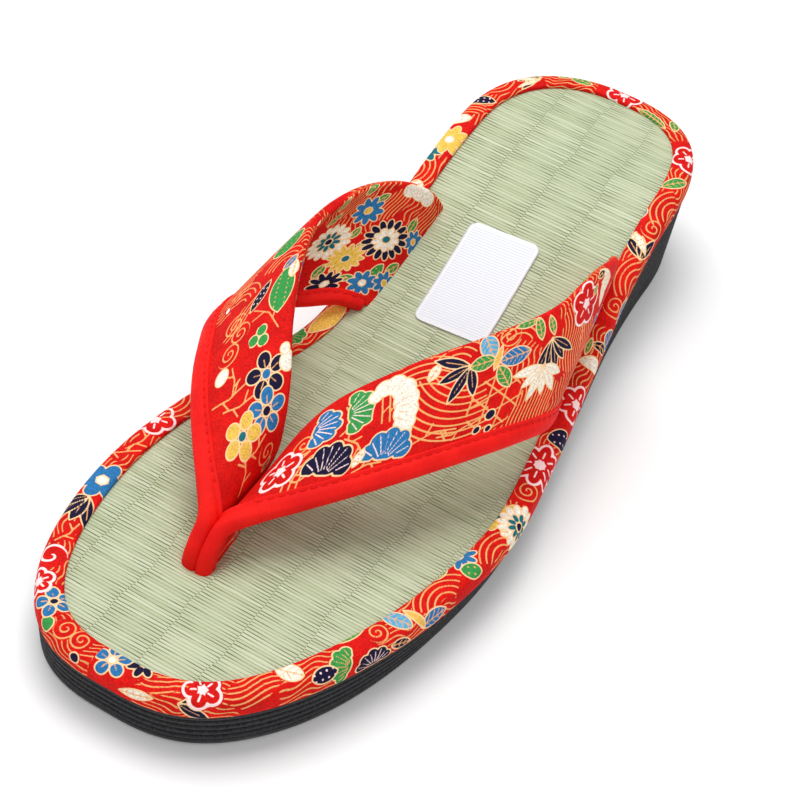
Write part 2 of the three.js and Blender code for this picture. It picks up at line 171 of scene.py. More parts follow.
def half_width(share):
    """Half width of the plan and its middle line: the table's width, closed by a superellipse at toe and heel."""
    half, centre = np.moveaxis(through(OUTLINE, share), -1, 0)[:2]
    toe = np.clip((TOE_SPAN - share) / TOE_SPAN, 0, 1)
    heel = np.clip((share - 1 + HEEL_SPAN) / HEEL_SPAN, 0, 1)
    toe_share = (1 - toe ** TOE_POWER) ** (1 / TOE_POWER)
    heel_share = (1 - heel ** HEEL_POWER) ** (1 / HEEL_POWER)
    return half * toe_share * heel_share, centre


def plan_loop(count):
    """Even steps round the plan, from the toe down the arch side to the heel and back: points, the level direction
    that looks in, and the run from the toe."""
    share = TIP + (1 - 2 * TIP) * (1 - np.cos(np.linspace(0, np.pi, PLAN_STEPS))) / 2
    half, centre = half_width(share)
    y = (share - 0.5) * LENGTH
    arch = np.stack([centre - half, y], -1)
    outer = np.stack([centre + half, y], -1)[::-1]
    loop = np.concatenate([arch, outer, arch[:1]])
    run = np.concatenate([[0], np.cumsum(np.linalg.norm(np.diff(loop, axis=0), axis=1))])
    even = np.linspace(0, run[-1], count, endpoint=False)
    point = np.stack([np.interp(even, run, loop[:, 0]), np.interp(even, run, loop[:, 1])], -1)
    reach = max(2, count // 150)
    ahead = unit(np.roll(point, -reach, 0) - np.roll(point, reach, 0))
    inward = np.stack([ahead[:, 1], -ahead[:, 0]], -1)
    return point, inward, even


def quads(rows, cols, loop_rows, loop_cols):
    """Corner numbers of the cells of a grid; either direction may close on itself."""
    i = np.arange(rows if loop_rows else rows - 1)[:, None]
    j = np.arange(cols if loop_cols else cols - 1)[None, :]
    here, over = i * cols, ((i + 1) % rows) * cols
    side = (j + 1) % cols
    return np.stack([here + j, here + side, over + side, over + j], -1).reshape(-1, 4)


def ladder(cols, start):
    """Cells that close a ring whose second half comes back beside its first half; its count is even."""
    i = np.arange(cols // 2 - 1)
    return np.stack([start + i, start + i + 1, start + cols - 2 - i, start + cols - 1 - i], -1)


def tube(rows, cols):
    """Cells of rings set one after the other, with the first and the last ring closed by a ladder."""
    last = (rows - 1) * cols
    return np.concatenate([quads(rows, cols, False, True), ladder(cols, 0)[:, ::-1], ladder(cols, last)])


def piece(name, points, faces, material, node=None, data=None):
    """A smooth closed mesh from points in millimetres, turned so that its signed volume is positive, with the
    per-point values given, riding on the sandal."""
    points = np.asarray(points, float).reshape(-1, 3)
    faces = np.asarray(faces, int)
    a, b, c, d = (points[faces[:, k % faces.shape[1]]] for k in range(4))
    volume = np.sum(np.cross(a, b) * c) + np.sum(np.cross(a, c) * d)
    if volume < 0:
        faces = faces[:, ::-1]
    mesh = bpy.data.meshes.new(name)
    mesh.from_pydata((points * MM).tolist(), [], faces.tolist())
    for key, value in (data or {}).items():
        value = np.asarray(value, np.float32)
        vector = value.shape[-1] == 3 and value.ndim > 1
        layer = mesh.attributes.new(key, "FLOAT_VECTOR" if vector else "FLOAT", "POINT")
        layer.data.foreach_set("vector" if vector else "value", value.ravel())
    mesh.shade_smooth()
    mesh.materials.append(material)
    made = bpy.data.objects.new(name, mesh)
    bpy.context.scene.collection.objects.link(made)
    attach(made, "root")
    if node:
        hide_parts(node)
    return made


# Materials


def finish_of(name, rough, specular):
    """A material, its main shader, and short ways to add a node (add), to join or set a socket (put), to reckon with
    numbers and sockets (do), to spread low..high over first..last and hold beyond (ramp), to mix two colours (blend)
    and to raise the surface by a height (relief)."""
    made = bpy.data.materials.new(name)
    made.use_nodes = True
    tree = made.node_tree
    shader = tree.nodes["Principled BSDF"]
    shader.inputs["Roughness"].default_value = rough
    shader.inputs["Specular IOR Level"].default_value = specular

    def put(value, socket):
        if isinstance(value, bpy.types.NodeSocket):
            tree.links.new(value, socket)
        else:
            socket.default_value = value

    def add(kind, **values):
        node = tree.nodes.new("ShaderNode" + kind)
        for key, value in values.items():
            if hasattr(node, key):
                setattr(node, key, value)
            else:
                put(value, node.inputs[key.replace("_", " ")])
        return node

    def do(operation, *values):
        node = add("Math", operation=operation)
        for socket, value in zip(node.inputs, values):
            put(value, socket)
        return node.outputs[0]

    def ramp(value, low, high, first=0.0, last=1.0):
        return add("MapRange", Value=value, From_Min=low, From_Max=high, To_Min=first, To_Max=last).outputs[0]

    def blend(share, first, second):
        node = add("Mix", data_type="RGBA")
        for slot, value in ((0, share), (6, first), (7, second)):
            put(value, node.inputs[slot])
        return node.outputs[2]

    def relief(strength, distance, height):
        bump = add("Bump", Strength=strength, Distance=distance, Height=height)
        put(bump.outputs[0], shader.inputs["Normal"])

    return made, shader, add, put, do, ramp, blend, relief


def shade(red, green, blue):
    """A colour read as it shows on a screen, 0 to 255, given as light."""
    v = np.array([red, green, blue]) / 255
    light = np.where(v <= 0.04045, v / 12.92, ((v + 0.055) / 1.055) ** 2.4)
    return (*light.tolist(), 1.0)


INKS = ("navy", "blue", "sky", "green", "yellow", "white", "teal", "gold", "pink")
INK_SHADES = dict(
    navy=shade(24, 20, 54), blue=shade(44, 118, 176), sky=shade(96, 174, 212), green=shade(58, 152, 74),
    yellow=shade(240, 196, 84), white=shade(250, 242, 226), teal=shade(26, 110, 122), gold=shade(238, 172, 106),
    pink=shade(255, 224, 222),
)
EDGE_CREAM = shade(248, 208, 156)
RED = shade(230, 22, 14)
RED_DEEP = shade(206, 14, 12)


def printed_cloth(name):
    """Red crepe with printed inks. Each ink's field holds the distance in millimetres to the edge of its print,
    negative inside. Gold follows the edge of every inked shape, then come gold and pale lines, and between the shapes
    run flowing lines, at the whole levels of the cloth's flow. Noise frays the edges and speckles the inks."""
    made, shader, add, put, do, ramp, blend, relief = finish_of(name, 0.74, 0.12)
    place = add("TexCoord").outputs["Object"]
    fray = add("TexNoise", Vector=place, Scale=2600.0, Detail=2.0).outputs[0]
    offset = do("MULTIPLY", do("SUBTRACT", fray, 0.5), 0.20)
    tone = add("TexNoise", Vector=place, Scale=180.0, Detail=3.0).outputs[0]
    grain = add("TexNoise", Vector=place, Scale=1900.0, Detail=2.0).outputs[0]
    fields = []
    for k in range(0, len(INKS), 3):
        parts = add("SeparateXYZ")
        put(add("Attribute", attribute_name=f"ink_{k // 3}").outputs["Vector"], parts.inputs[0])
        fields += parts.outputs[:3]
    flow = add("SeparateXYZ")
    put(add("Attribute", attribute_name="flow").outputs["Vector"], flow.inputs[0])
    level = do("ABSOLUTE", do("SUBTRACT", do("FRACT", flow.outputs[0]), 0.5))
    streak = ramp(do("ADD", level, do("MULTIPLY", offset, 0.5)), 0.155, 0.085)
    streak = do("MULTIPLY", streak, ramp(flow.outputs[1], 0.25, 0.45))
    colour = blend(ramp(tone, 0.35, 0.7), RED_DEEP, RED)
    colour = blend(streak, colour, INK_SHADES["gold"])
    edge = None
    for ink, field in zip(INKS[:-2], fields):
        colour = blend(ramp(do("ADD", field, offset), 0.06, -0.06), colour, INK_SHADES[ink])
        near = do("ABSOLUTE", field)
        edge = do("MINIMUM", edge, near) if edge else near
    rim = ramp(do("ADD", edge, offset), 0.25, 0.12)
    lines = ramp(do("ADD", fields[-2], offset), 0.06, -0.06)
    gilt = do("MAXIMUM", rim, lines)
    spots = ramp(grain, 0.30, 0.64, 0.70, 1.08)
    grey = add("CombineColor")
    for socket in grey.inputs[:3]:
        put(spots, socket)
    speckled = add("Mix", data_type="RGBA", blend_type="MULTIPLY")
    put(1.0, speckled.inputs[0])
    put(colour, speckled.inputs[6])
    put(grey.outputs[0], speckled.inputs[7])
    colour = blend(lines, speckled.outputs[2], INK_SHADES["gold"])
    colour = blend(rim, colour, EDGE_CREAM)
    colour = blend(ramp(do("ADD", fields[-1], offset), 0.06, -0.06), colour, INK_SHADES["pink"])
    put(colour, shader.inputs["Base Color"])
    put(ramp(gilt, 0.0, 1.0, 0.74, 0.50), shader.inputs["Roughness"])
    relief(0.35, 0.0003, do("ADD", grain, do("MULTIPLY", gilt, 0.2)))
    return made


def red_bias(name, main, deep):
    """Plain red bias strip: two crossed fine waves for the weave, laid slanting, with slow tone changes and painted
    shade between the threads.
    """
    made, shader, add, put, do, ramp, blend, relief = finish_of(name, 0.66, 0.14)
    place = add("TexCoord").outputs["Object"]
    tone = add("TexNoise", Vector=place, Scale=130.0, Detail=3.0).outputs[0]
    turned = add("Mapping", Vector=place)
    turned.inputs["Rotation"].default_value = (0.6, 0.5, 0.7)
    weave = add("TexWave", Vector=turned.outputs[0], Scale=620.0, Distortion=2.0, Detail=1.0)
    cross = add("TexWave", Vector=turned.outputs[0], bands_direction="Y", Scale=620.0, Distortion=2.0, Detail=1.0)
    cloth = do("MULTIPLY", weave.outputs["Fac"], cross.outputs["Fac"])
    colour = blend(ramp(tone, 0.3, 0.7), deep, main)
    # Painted shade: deeper red between the threads of the weave.
    colour = blend(ramp(cloth, 0.0, 0.35, 0.30, 0.0), colour, deep)
    put(colour, shader.inputs["Base Color"])
    relief(0.3, 0.0002, cloth)
    return made


def rush_mat(name):
    """Woven rush: fine strands lie across the sandal in lengthwise columns about 14 mm wide, every other column
    shifted by half a strand. The gaps between strands are deep beside the binding threads, where the columns meet,
    and close up in the middle of a column; painted shade darkens the gaps and runs along each seam. Each strand
    has its own tone, and each gap its own depth of painted shade."""
    made, shader, add, put, do, ramp, blend, relief = finish_of(name, 0.6, 0.22)
    place = add("TexCoord").outputs["Object"]
    parts = add("SeparateXYZ", Vector=place)
    x, y = parts.outputs[0], parts.outputs[1]
    drift = add("TexNoise", Vector=place, Scale=70.0, Detail=3.0).outputs[0]
    column = do("ADD", do("DIVIDE", x, 0.0142), do("MULTIPLY", do("SUBTRACT", drift, 0.5), 0.36))
    column_number = do("FLOOR", column)
    column_share = do("SUBTRACT", column, column_number)
    stretched = add("Mapping", Vector=place)
    stretched.inputs["Scale"].default_value = (55.0, 520.0, 1.0)
    wobble = add("TexNoise", Vector=stretched.outputs[0], Scale=1.0, Detail=1.0).outputs[0]
    strand = do("ADD", do("DIVIDE", y, 0.00100), do("MULTIPLY", do("PINGPONG", column_number, 1.0), 0.5))
    strand = do("ADD", strand, do("MULTIPLY", wobble, 0.8))
    strand_number = do("FLOOR", strand)
    from_gap = do("ABSOLUTE", do("SUBTRACT", do("SUBTRACT", strand, strand_number), 0.5))
    rounded = do("SUBTRACT", 1.0, do("POWER", do("MULTIPLY", from_gap, 2.0), 3.0))
    key = add("CombineXYZ")
    put(column_number, key.inputs[0])
    put(strand_number, key.inputs[1])
    own = add("TexWhiteNoise", noise_dimensions="2D")
    put(key.outputs[0], own.inputs["Vector"])
    edge_key = add("CombineXYZ")
    put(column_number, edge_key.inputs[0])
    put(do("ROUND", strand), edge_key.inputs[1])
    put(7.0, edge_key.inputs[2])
    gap_own = add("TexWhiteNoise", noise_dimensions="3D")
    put(edge_key.outputs[0], gap_own.inputs["Vector"])
    seam = do("MINIMUM", column_share, do("SUBTRACT", 1.0, column_share))
    reach = ramp(gap_own.outputs["Value"], 0.0, 1.0, 0.02, 0.46)
    open_gap = ramp(do("SUBTRACT", reach, seam), -0.14, 0.12, 0.34, 1.0)
    width = ramp(open_gap, 0.2, 1.0, 0.43, 0.37)
    gap = do("MULTIPLY", ramp(do("SUBTRACT", from_gap, width), 0.0, 0.07), open_gap)
    broad = add("TexNoise", Vector=place, Scale=28.0, Detail=3.0).outputs[0]
    streak_map = add("Mapping", Vector=place)
    streak_map.inputs["Scale"].default_value = (60.0, 1900.0, 1.0)
    streak = add("TexNoise", Vector=streak_map.outputs[0], Scale=1.0, Detail=2.0).outputs[0]
    colour = blend(own.outputs["Value"], shade(178, 188, 152), shade(202, 210, 180))
    colour = blend(ramp(streak, 0.35, 0.75, 0.0, 0.5), colour, shade(166, 176, 138))
    colour = blend(ramp(broad, 0.4, 0.75, 0.0, 0.35), colour, shade(200, 203, 170))
    # Painted shade in the gaps between strands, darker where a gap is more open.
    colour = blend(do("MULTIPLY", gap, 0.78), colour, shade(80, 86, 54))
    # Painted shade along each seam where the columns meet, darkest down beside the gaps between strands.
    seam_shade = ramp(seam, 0.030, 0.0, 0.0, 0.40)
    colour = blend(do("MULTIPLY", seam_shade, ramp(rounded, 0.2, 0.9, 1.0, 0.2)), colour, shade(120, 126, 86))
    put(colour, shader.inputs["Base Color"])
    height = do("SUBTRACT", do("MULTIPLY", rounded, 0.5), gap)
    relief(0.7, 0.0004, do("SUBTRACT", height, do("MULTIPLY", ramp(seam, 0.04, 0.0), 0.3)))
    return made


def sole_sponge(name):
    """Matte black sponge: pores, painted shade in the grooves between the ribs and a painted highlight on their
    crests, rubbed lighter along the foot of the wall, and a small diamond tread underneath.
    """
    made, shader, add, put, do, ramp, blend, relief = finish_of(name, 0.78, 0.3)
    place = add("TexCoord").outputs["Object"]
    parts = add("SeparateXYZ", Vector=place)
    x, y, z = parts.outputs[:3]
    pores = add("TexNoise", Vector=place, Scale=1500.0, Detail=3.0).outputs[0]
    broad = add("TexNoise", Vector=place, Scale=45.0, Detail=4.0).outputs[0]
    colour = blend(ramp(pores, 0.35, 0.7), shade(24, 24, 26), shade(46, 46, 49))
    rib = do("ABSOLUTE", do("SUBTRACT", do("FRACT", do("ADD", do("DIVIDE", z, RIB_PITCH * MM), 0.5)), 0.5))
    wall = ramp(z, 0.0006, 0.0012)
    # Painted shade in the grooves between the ribs of the wall.
    colour = blend(do("MULTIPLY", ramp(rib, 0.17, 0.06), wall), colour, shade(10, 10, 12))
    # Painted highlight along the crest of each rib.
    crest_highlight = do("MULTIPLY", ramp(rib, 0.38, 0.49, 0.0, 0.35), wall)
    colour = blend(crest_highlight, colour, shade(80, 80, 84))
    rubbed = do("MULTIPLY", ramp(z, 0.0024, 0.0004), ramp(broad, 0.35, 0.65, 0.4, 1.0))
    colour = blend(do("MULTIPLY", rubbed, 0.7), colour, shade(96, 96, 98))
    one = do("SINE", do("MULTIPLY", do("ADD", x, y), 1400.0))
    other = do("SINE", do("MULTIPLY", do("SUBTRACT", x, y), 1400.0))
    tread = do("MULTIPLY", do("MAXIMUM", one, other), ramp(z, 0.0004, 0.0001))
    colour = blend(ramp(tread, 0.55, 0.9, 0.0, 0.6), colour, shade(84, 84, 86))
    put(colour, shader.inputs["Base Color"])
    relief(0.5, 0.0003, do("ADD", pores, do("MULTIPLY", tread, 2.5)))
    put(ramp(pores, 0.3, 0.7, 0.86, 0.66), shader.inputs["Roughness"])
    return made


def sticker_paper(name):
    """White coated paper with faint ruled lines across it; the sheet's own length and width are in its attribute."""
    made, shader, add, put, do, ramp, blend, relief = finish_of(name, 0.32, 0.5)
    parts = add("SeparateXYZ")
    put(add("Attribute", attribute_name="sheet").outputs["Vector"], parts.inputs[0])
    place = add("TexCoord").outputs["Object"]
    mottle = add("TexNoise", Vector=place, Scale=400.0, Detail=2.0).outputs[0]
    colour = blend(ramp(mottle, 0.3, 0.7), shade(217, 220, 226), shade(225, 227, 231))
    line = do("ABSOLUTE", do("SUBTRACT", do("FRACT", do("MULTIPLY", parts.outputs[1], 1 / 0.9)), 0.5))
    inside = do("MULTIPLY", ramp(parts.outputs[2], 0.9, 1.1), 0.75)
    colour = blend(do("MULTIPLY", ramp(line, 0.22, 0.10), inside), colour, shade(182, 191, 206))
    put(colour, shader.inputs["Base Color"])
    put(ramp(mottle, 0.3, 0.7, 0.28, 0.38), shader.inputs["Roughness"])
    return made


# Sole, mat, rim and sticker


def rungs(ring, count):
    """A loop that starts at the toe, cut into pairs: each arch-side point with its partner on the outer side."""
    half = len(ring) // 2
    arch, outer = ring[1:half], ring[:half:-1]
    share = np.linspace(0, 1, count)[None, :, None]
    return arch[:, None] * (1 - share) + outer[:, None] * share


def make_sole(material):
    """The plan drawn in, row by row: straight from the floor's draw-in to the top's, plus a narrow groove every
    RIB_PITCH of height. The last loops at the floor and at the top are closed by cells from side to side."""
    count, levels = SOLE_AROUND, SOLE_LEVELS
    point, inward = plan_loop(count)[:2]
    top = rim_top(point[:, 1]) - EDGE_HEIGHT
    floor = through(OUTLINE, np.clip(point[:, 1] / LENGTH + 0.5, 0, 1))[:, 2]
    share = np.linspace(0, 1, levels)[:, None]
    z = share * top
    groove = np.abs(((z / RIB_PITCH + 0.5) % 1) - 0.5) * RIB_PITCH
    cut = RIB_DEPTH * np.exp(-(groove / GROOVE_SOFT) ** 2) * smooth(0.6, 1.2, z) * smooth(0.2, 0.9, top - z)
    bevel = FOOT_BEVEL * (1 - smooth(0.0, FOOT_BEVEL, z))
    inset = floor + (TOP_INSET - floor) * share + cut + bevel
    rows = np.concatenate([point + inward * inset[..., None], z[..., None]], -1)
    return piece("wedge_sole", rows, tube(levels, count), material, "sole")


def make_mat(material):
    """A board with the plan's shape: straight rungs from the arch side to the outer side at the height of the footbed,
    with a dimple round the toe post, and back under the board."""
    point, inward = plan_loop(MAT_AROUND)[:2]
    grid = rungs(point + inward * MAT_INSET, MAT_ACROSS)
    x, y = grid[..., 0], grid[..., 1]
    z = footbed_top(y)
    post = np.hypot((x - POST_X) / TOE_DIMPLE["wide"], (y - TOE_DIMPLE["y"]) / TOE_DIMPLE["long"])
    z = z - TOE_DIMPLE["deep"] * np.exp(-(np.maximum(post - 0.6, 0) / 0.3) ** 2)
    z[:, [0, -1]] -= 2.4
    upper = np.concatenate([grid, z[..., None]], -1)
    lower = np.concatenate([grid, (rim_top(y) - EDGE_HEIGHT + 0.3)[..., None]], -1)[:, ::-1]
    rows = np.concatenate([upper, lower], 1)
    return piece("rush_footbed", rows, tube(*rows.shape[:2]), material, "insole")


RIM_AROUND, RIM_ACROSS = 2000, 46
RIM_BACK_INSET, RIM_BACK_DROP = 1.4, 3.4
# Profile of the rim from the foot of its side, over the corner, to the inner edge and back under: share of the way
# in to the edge of the flange, extra millimetres in, drop under the top
RIM_PROFILE = np.array([
    (0.0, 0.0, 0.9, 5.30),
    (0.6, 0.0, 0.15, 5.25),
    (1.0, 0.0, -0.05, 4.80),
    (2.0, 0.0, -0.10, 3.60),
    (3.0, 0.0, 0.05, 2.20),
    (4.0, 0.0, 0.70, 0.75),
    (5.0, 0.0, 2.20, 0.05),
    (6.0, 0.45, 1.2, -0.12),
    (7.0, 0.80, 0.4, 0.02),
    (8.0, 0.95, 0.1, 0.28),
    (8.6, 1.0, 0.0, 0.75),
    (9.0, 1.0, -0.05, 1.28),
])


def make_rim(material):
    """The rim's profile carried round the plan; the cloth puckers a little round the toe and the heel."""
    point, inward, run = plan_loop(RIM_AROUND)
    step = np.concatenate([np.linspace(0, 9, RIM_ACROSS), [9.0]])
    share, extra, drop = np.moveaxis(through(RIM_PROFILE, step), -1, 0)
    flange = through(OUTLINE, np.clip(point[:, 1] / LENGTH + 0.5, 0, 1))[:, 3]
    inset = share[:, None] * flange + extra[:, None]
    inset[-1] = RIM_BACK_INSET
    down = np.repeat(drop[:, None], RIM_AROUND, 1)
    down[-1] = RIM_BACK_DROP
    bend = smooth(0.62, 0.95, np.abs(point[:, 1]) / (LENGTH / 2))
    pucker = 0.10 * np.sin(run * 1.9 + 2 * np.sin(run * 0.31)) * bend
    top = (share * (1 - share) * 4)[:, None]
    down[:-1] -= (pucker * top)[:-1] + 0.08 * np.sin(run * 0.7) * top[:-1]
    flat = point + inward * inset[..., None]
    z = rim_top(flat[..., 1]) - down
    rows = np.concatenate([flat, z[..., None]], -1)
    across = np.concatenate([[0], np.cumsum(np.linalg.norm(np.diff(rows[:, 0], axis=0), axis=1))])
    run2 = np.broadcast_to(run, rows.shape[:2])
    across2 = np.broadcast_to(across[:, None], rows.shape[:2])
    inks = {key: value.reshape(-1, 3) for key, value in print_cloth(run2, across2, RIM_CHART, rim_flow).items()}
    cells = quads(len(rows), RIM_AROUND, True, True)
    return piece("cloth_rim", rows, cells, material, "edge_binding", inks)


def make_sticker(material):
    """A thin rounded sheet that lies along the rise of the footbed: at each length, its half width comes from the
    circle of the corner."""
    along = -np.cos(np.linspace(0, np.pi, SHEET_ALONG)) * STICKER["long"] / 2
    past = np.maximum(0, np.abs(along) - STICKER["long"] / 2 + STICKER["corner"])
    half = STICKER["wide"] / 2 - STICKER["corner"] + np.sqrt(np.maximum(STICKER["corner"] ** 2 - past ** 2, 0))
    over = np.linspace(-1, 1, SHEET_ACROSS)
    width = half[:, None] * np.concatenate([over, over[::-1]])
    length = np.broadcast_to(along[:, None], width.shape)
    c, s = np.cos(STICKER["turn"]), np.sin(STICKER["turn"])
    x = STICKER["x"] + c * width - s * length
    y = STICKER["y"] + s * width + c * length
    lift = np.repeat([SHEET_LIFT + STICKER["thick"], SHEET_UNDER], SHEET_ACROSS)
    rows = np.stack([x, y, footbed_top(y) + lift], -1)
    edge = np.minimum(half[:, None] - np.abs(width), STICKER["long"] / 2 - np.abs(length))
    cells = tube(SHEET_ALONG, 2 * SHEET_ACROSS)
    sheet = np.stack([width, length, edge], -1)
    return piece("heel_sticker", rows, cells, material, "label", {"sheet": sheet.reshape(-1, 3)})


# Thong


def band_edges(rows, at):
    """Front and rear edge of a band, each at its height over the footbed, and the bow between them."""
    fx, fy, fo, rx, ry, ro, crown = np.moveaxis(through(rows, at), -1, 0)
    front = np.stack([fx, fy, footbed_top(fy) + fo], -1)
    rear = np.stack([rx, ry, footbed_top(ry) + ro], -1)
    return front, rear, crown


def band_middle(rows, at, cross, side):
    """Middle of a band: straight from its front edge to its rear edge, bowed out by the crown."""
    front, rear, crown = band_edges(rows, at)
    ahead = sum(band_edges(rows, at + NUDGE)[:2])
    behind = sum(band_edges(rows, at - NUDGE)[:2])
    out = unit(np.cross(rear - front, ahead - behind)) * side
    bow = (crown * 4)[..., None] * (cross * (1 - cross))[..., None]
    return front + (rear - front) * cross[..., None] + out * bow


def band_out(rows, at, cross, side):
    """Direction out of a band: across its width times along its run."""
    along = band_middle(rows, at + NUDGE, cross, side) - band_middle(rows, at - NUDGE, cross, side)
    across = band_middle(rows, at, cross + NUDGE, side) - band_middle(rows, at, cross - NUDGE, side)
    return unit(np.cross(across, along)) * side


BAND_RUN, BAND_OUTER, BAND_FOLD, BAND_INNER = 470, 118, 7, 81


def band_grid(rows, side):
    """Points of a padded band and the place on its cloth. Rings run along the outer face from front to rear, round the
    rear fold as a half circle, and back along the inner face. The pad swells between the piping and the fold."""
    at = np.linspace(-0.2, 1.04, BAND_RUN)[:, None]
    outer = np.linspace(0, 1, BAND_OUTER)
    fold = np.linspace(0, np.pi, BAND_FOLD + 2)[1:-1]
    inner = np.linspace(1, 0, BAND_INNER)
    cross = np.concatenate([outer, np.ones(BAND_FOLD), inner])[None, :]
    lift = np.concatenate([np.ones(BAND_OUTER), np.cos(fold), -np.ones(BAND_INNER)])
    reach = np.concatenate([np.zeros(BAND_OUTER), np.sin(fold), np.zeros(BAND_INNER)])
    grid_at = np.broadcast_to(at, (BAND_RUN, cross.shape[1]))
    grid_cross = np.broadcast_to(cross, grid_at.shape)
    middle = band_middle(rows, grid_at, grid_cross, side)
    out = band_out(rows, grid_at, np.clip(grid_cross, 0.01, 0.99), side)
    front, rear = band_edges(rows, at[:, 0])[:2]
    width = np.linalg.norm(rear - front, axis=1)[:, None]
    back = unit(rear - front)[:, None, :]
    swell = 0.45 * np.sqrt(np.clip(np.sin(np.pi * np.clip(grid_cross, 0, 1)), 0, 1)) * smooth(-0.02, 0.1, grid_at)
    swell = swell * (1 - smooth(0.9, 1.0, grid_at))
    thick = (BAND_HALF - 0.25 + swell * np.where(lift > 0, 1.0, 0.6))[..., None]
    points = middle + out * thick * lift[:, None] + back * thick * reach[:, None]
    step = np.linalg.norm(np.diff(middle, axis=0), axis=-1)
    run = np.concatenate([np.zeros((1, step.shape[1])), np.cumsum(step, axis=0)])
    seam = np.array([np.interp(0.0, at[:, 0], run[:, k]) for k in (0, BAND_OUTER - 1)])
    start = seam[0] + (seam[1] - seam[0]) * grid_cross
    place = run - start
    wide = grid_cross * width + np.where(reach > 0, np.arcsin(np.clip(reach, 0, 1)) * BAND_HALF, 0)
    return points, place, wide


def make_band(name, rows, side, material, outer_chart, inner_chart):
    """The band's rings joined into a closed pad, with one chart printed outside and another inside the fold."""
    points, place, wide = band_grid(rows, side)
    cut = BAND_OUTER + BAND_FOLD // 2 + 1
    outside = print_cloth(place[:, :cut], wide[:, :cut], outer_chart, band_flow)
    inside = print_cloth(place[:, cut:], wide[:, cut:], inner_chart, lining_flow)
    inks = {key: np.concatenate([outside[key], inside[key]], 1).reshape(-1, 3) for key in outside}
    made = piece(name, points, tube(*points.shape[:2]), material, "strap", inks)
    return made


def piping_path(rows, side):
    """Rows of the piping: place and direction across it, up the toe post and then along the front edge of the band."""
    post = POST[:, 0]
    y = POST[:, 2]
    spot = np.stack([POST_X - side * POST[:, 1], y, footbed_top(y) + POST[:, 3]], -1)
    across = np.stack([np.zeros(4), np.ones(4), POST[:, 4]], -1)
    at = rows[(rows[:, 0] > 0.01) & (rows[:, 0] < 1.01), 0]
    none = np.zeros(len(at))
    front = band_middle(rows, at, none, side)
    lean = band_middle(rows, at, none + PIPING_LEAN, side) - front
    head = np.concatenate([post[:, None], spot, unit(across)], 1)
    tail = np.concatenate([at[:, None], front, unit(lean)], 1)
    return np.concatenate([head, tail])


# Section of the piping: place round it, how far back from its front nose, height over the middle of the band. It
# reaches 5.4 mm back on the outside and 4.4 mm on the inside, with a dent under each row of stitches.
PIPING_SECTION = np.array([
    (0.0, 5.2, 0.9),
    (0.5, 5.4, 1.5),
    (1.0, 5.1, 1.95),
    (1.8, 4.3, 1.74),
    (2.6, 3.5, 2.10),
    (4.0, 2.0, 2.15),
    (5.0, 0.7, 1.70),
    (5.6, 0.15, 0.85),
    (6.0, 0.0, 0.0),
    (6.4, 0.15, -0.85),
    (7.0, 0.7, -1.70),
    (8.0, 2.0, -2.05),
    (8.8, 3.3, -1.78),
    (9.4, 4.0, -1.95),
    (9.8, 4.4, -1.5),
    (10.0, 4.3, -0.9),
])
PIPING_RUN, PIPING_ROUND = 460, 34
PIPING_NOSE = 2.0
STITCH = 2.6
STITCH_HALF, STITCH_RADIUS = 0.85, 0.24


def piping_frames(rows, side, at):
    """Place, direction across and direction out along the piping."""
    path = piping_path(rows, side)
    value = through(path, at)
    run = unit(through(path, at + NUDGE)[..., :3] - through(path, at - NUDGE)[..., :3])
    across = value[..., 3:6]
    across = unit(across - run * np.sum(across * run, -1, keepdims=True))
    out = np.cross(across, run) * side
    return value[..., :3], across, out, run


def make_piping(name, rows, side, material):
    """The section carried along the path; small puckers follow the stitches."""
    at = np.linspace(-0.16, PIPING_END, PIPING_RUN)
    spot, across, out, run = piping_frames(rows, side, at)
    turn = np.linspace(0, 10, PIPING_ROUND)
    back, high = np.moveaxis(through(PIPING_SECTION, turn), -1, 0)
    step = np.concatenate([[0], np.cumsum(np.linalg.norm(np.diff(spot, axis=0), axis=1))])
    pucker = 1 + 0.014 * np.sin(step * TAU / STITCH)[:, None] * (np.abs(back - 4) < 2)
    points = spot[:, None] + across[:, None] * (back - PIPING_NOSE)[None, :, None]
    points = points + out[:, None] * (high[None, :] * pucker)[..., None]
    return piece(name, points, tube(PIPING_RUN, PIPING_ROUND), material, "strap_piping")


def make_stitches(name, rows, side, material, back, high, first, last):
    """Short capsules along the piping: rings of six points whose radius follows a half circle, two thirds of each
    stitch length, set into the dent."""
    path_at = np.linspace(first, last, 1200)
    spot = piping_frames(rows, side, path_at)[0]
    step = np.concatenate([[0], np.cumsum(np.linalg.norm(np.diff(spot, axis=0), axis=1))])
    count = int(step[-1] / STITCH)
    centre = np.interp((np.arange(count) + 0.5) * STITCH, step, path_at)
    spot, across, out, run = piping_frames(rows, side, centre)
    base = spot + across * (back - PIPING_NOSE) + out * high
    along = np.array([-1, -0.8, 0.0, 0.8, 1.0]) * STITCH_HALF
    radius = np.array([0.05, 0.75, 1.0, 0.75, 0.05]) * STITCH_RADIUS
    turn = np.arange(6) * TAU / 6
    ring = radius[:, None] * np.stack([np.cos(turn), np.sin(turn)])[:, None, :]
    points = (base[:, None, None] + run[:, None, None] * along[None, :, None, None]
              + across[:, None, None] * ring[0][None, ..., None] + out[:, None, None] * ring[1][None, ..., None])
    rings, sides = len(along), len(turn)
    cells = (np.arange(count)[:, None, None] * rings * sides + tube(rings, sides)).reshape(-1, 4)
    return piece(name, points, cells, material, None)


# Print


FAR = 3.0


def disc(x, y, radius):
    """Distance from the edge of a circle."""
    return np.hypot(x, y) - radius


def oval(x, y, long, wide):
    """Distance from the edge of an ellipse, near enough: k(k - 1) / slope of k."""
    k = np.hypot(x / long, y / wide)
    return k * (k - 1) / np.maximum(np.hypot(x / long ** 2, y / wide ** 2), 1e-6)


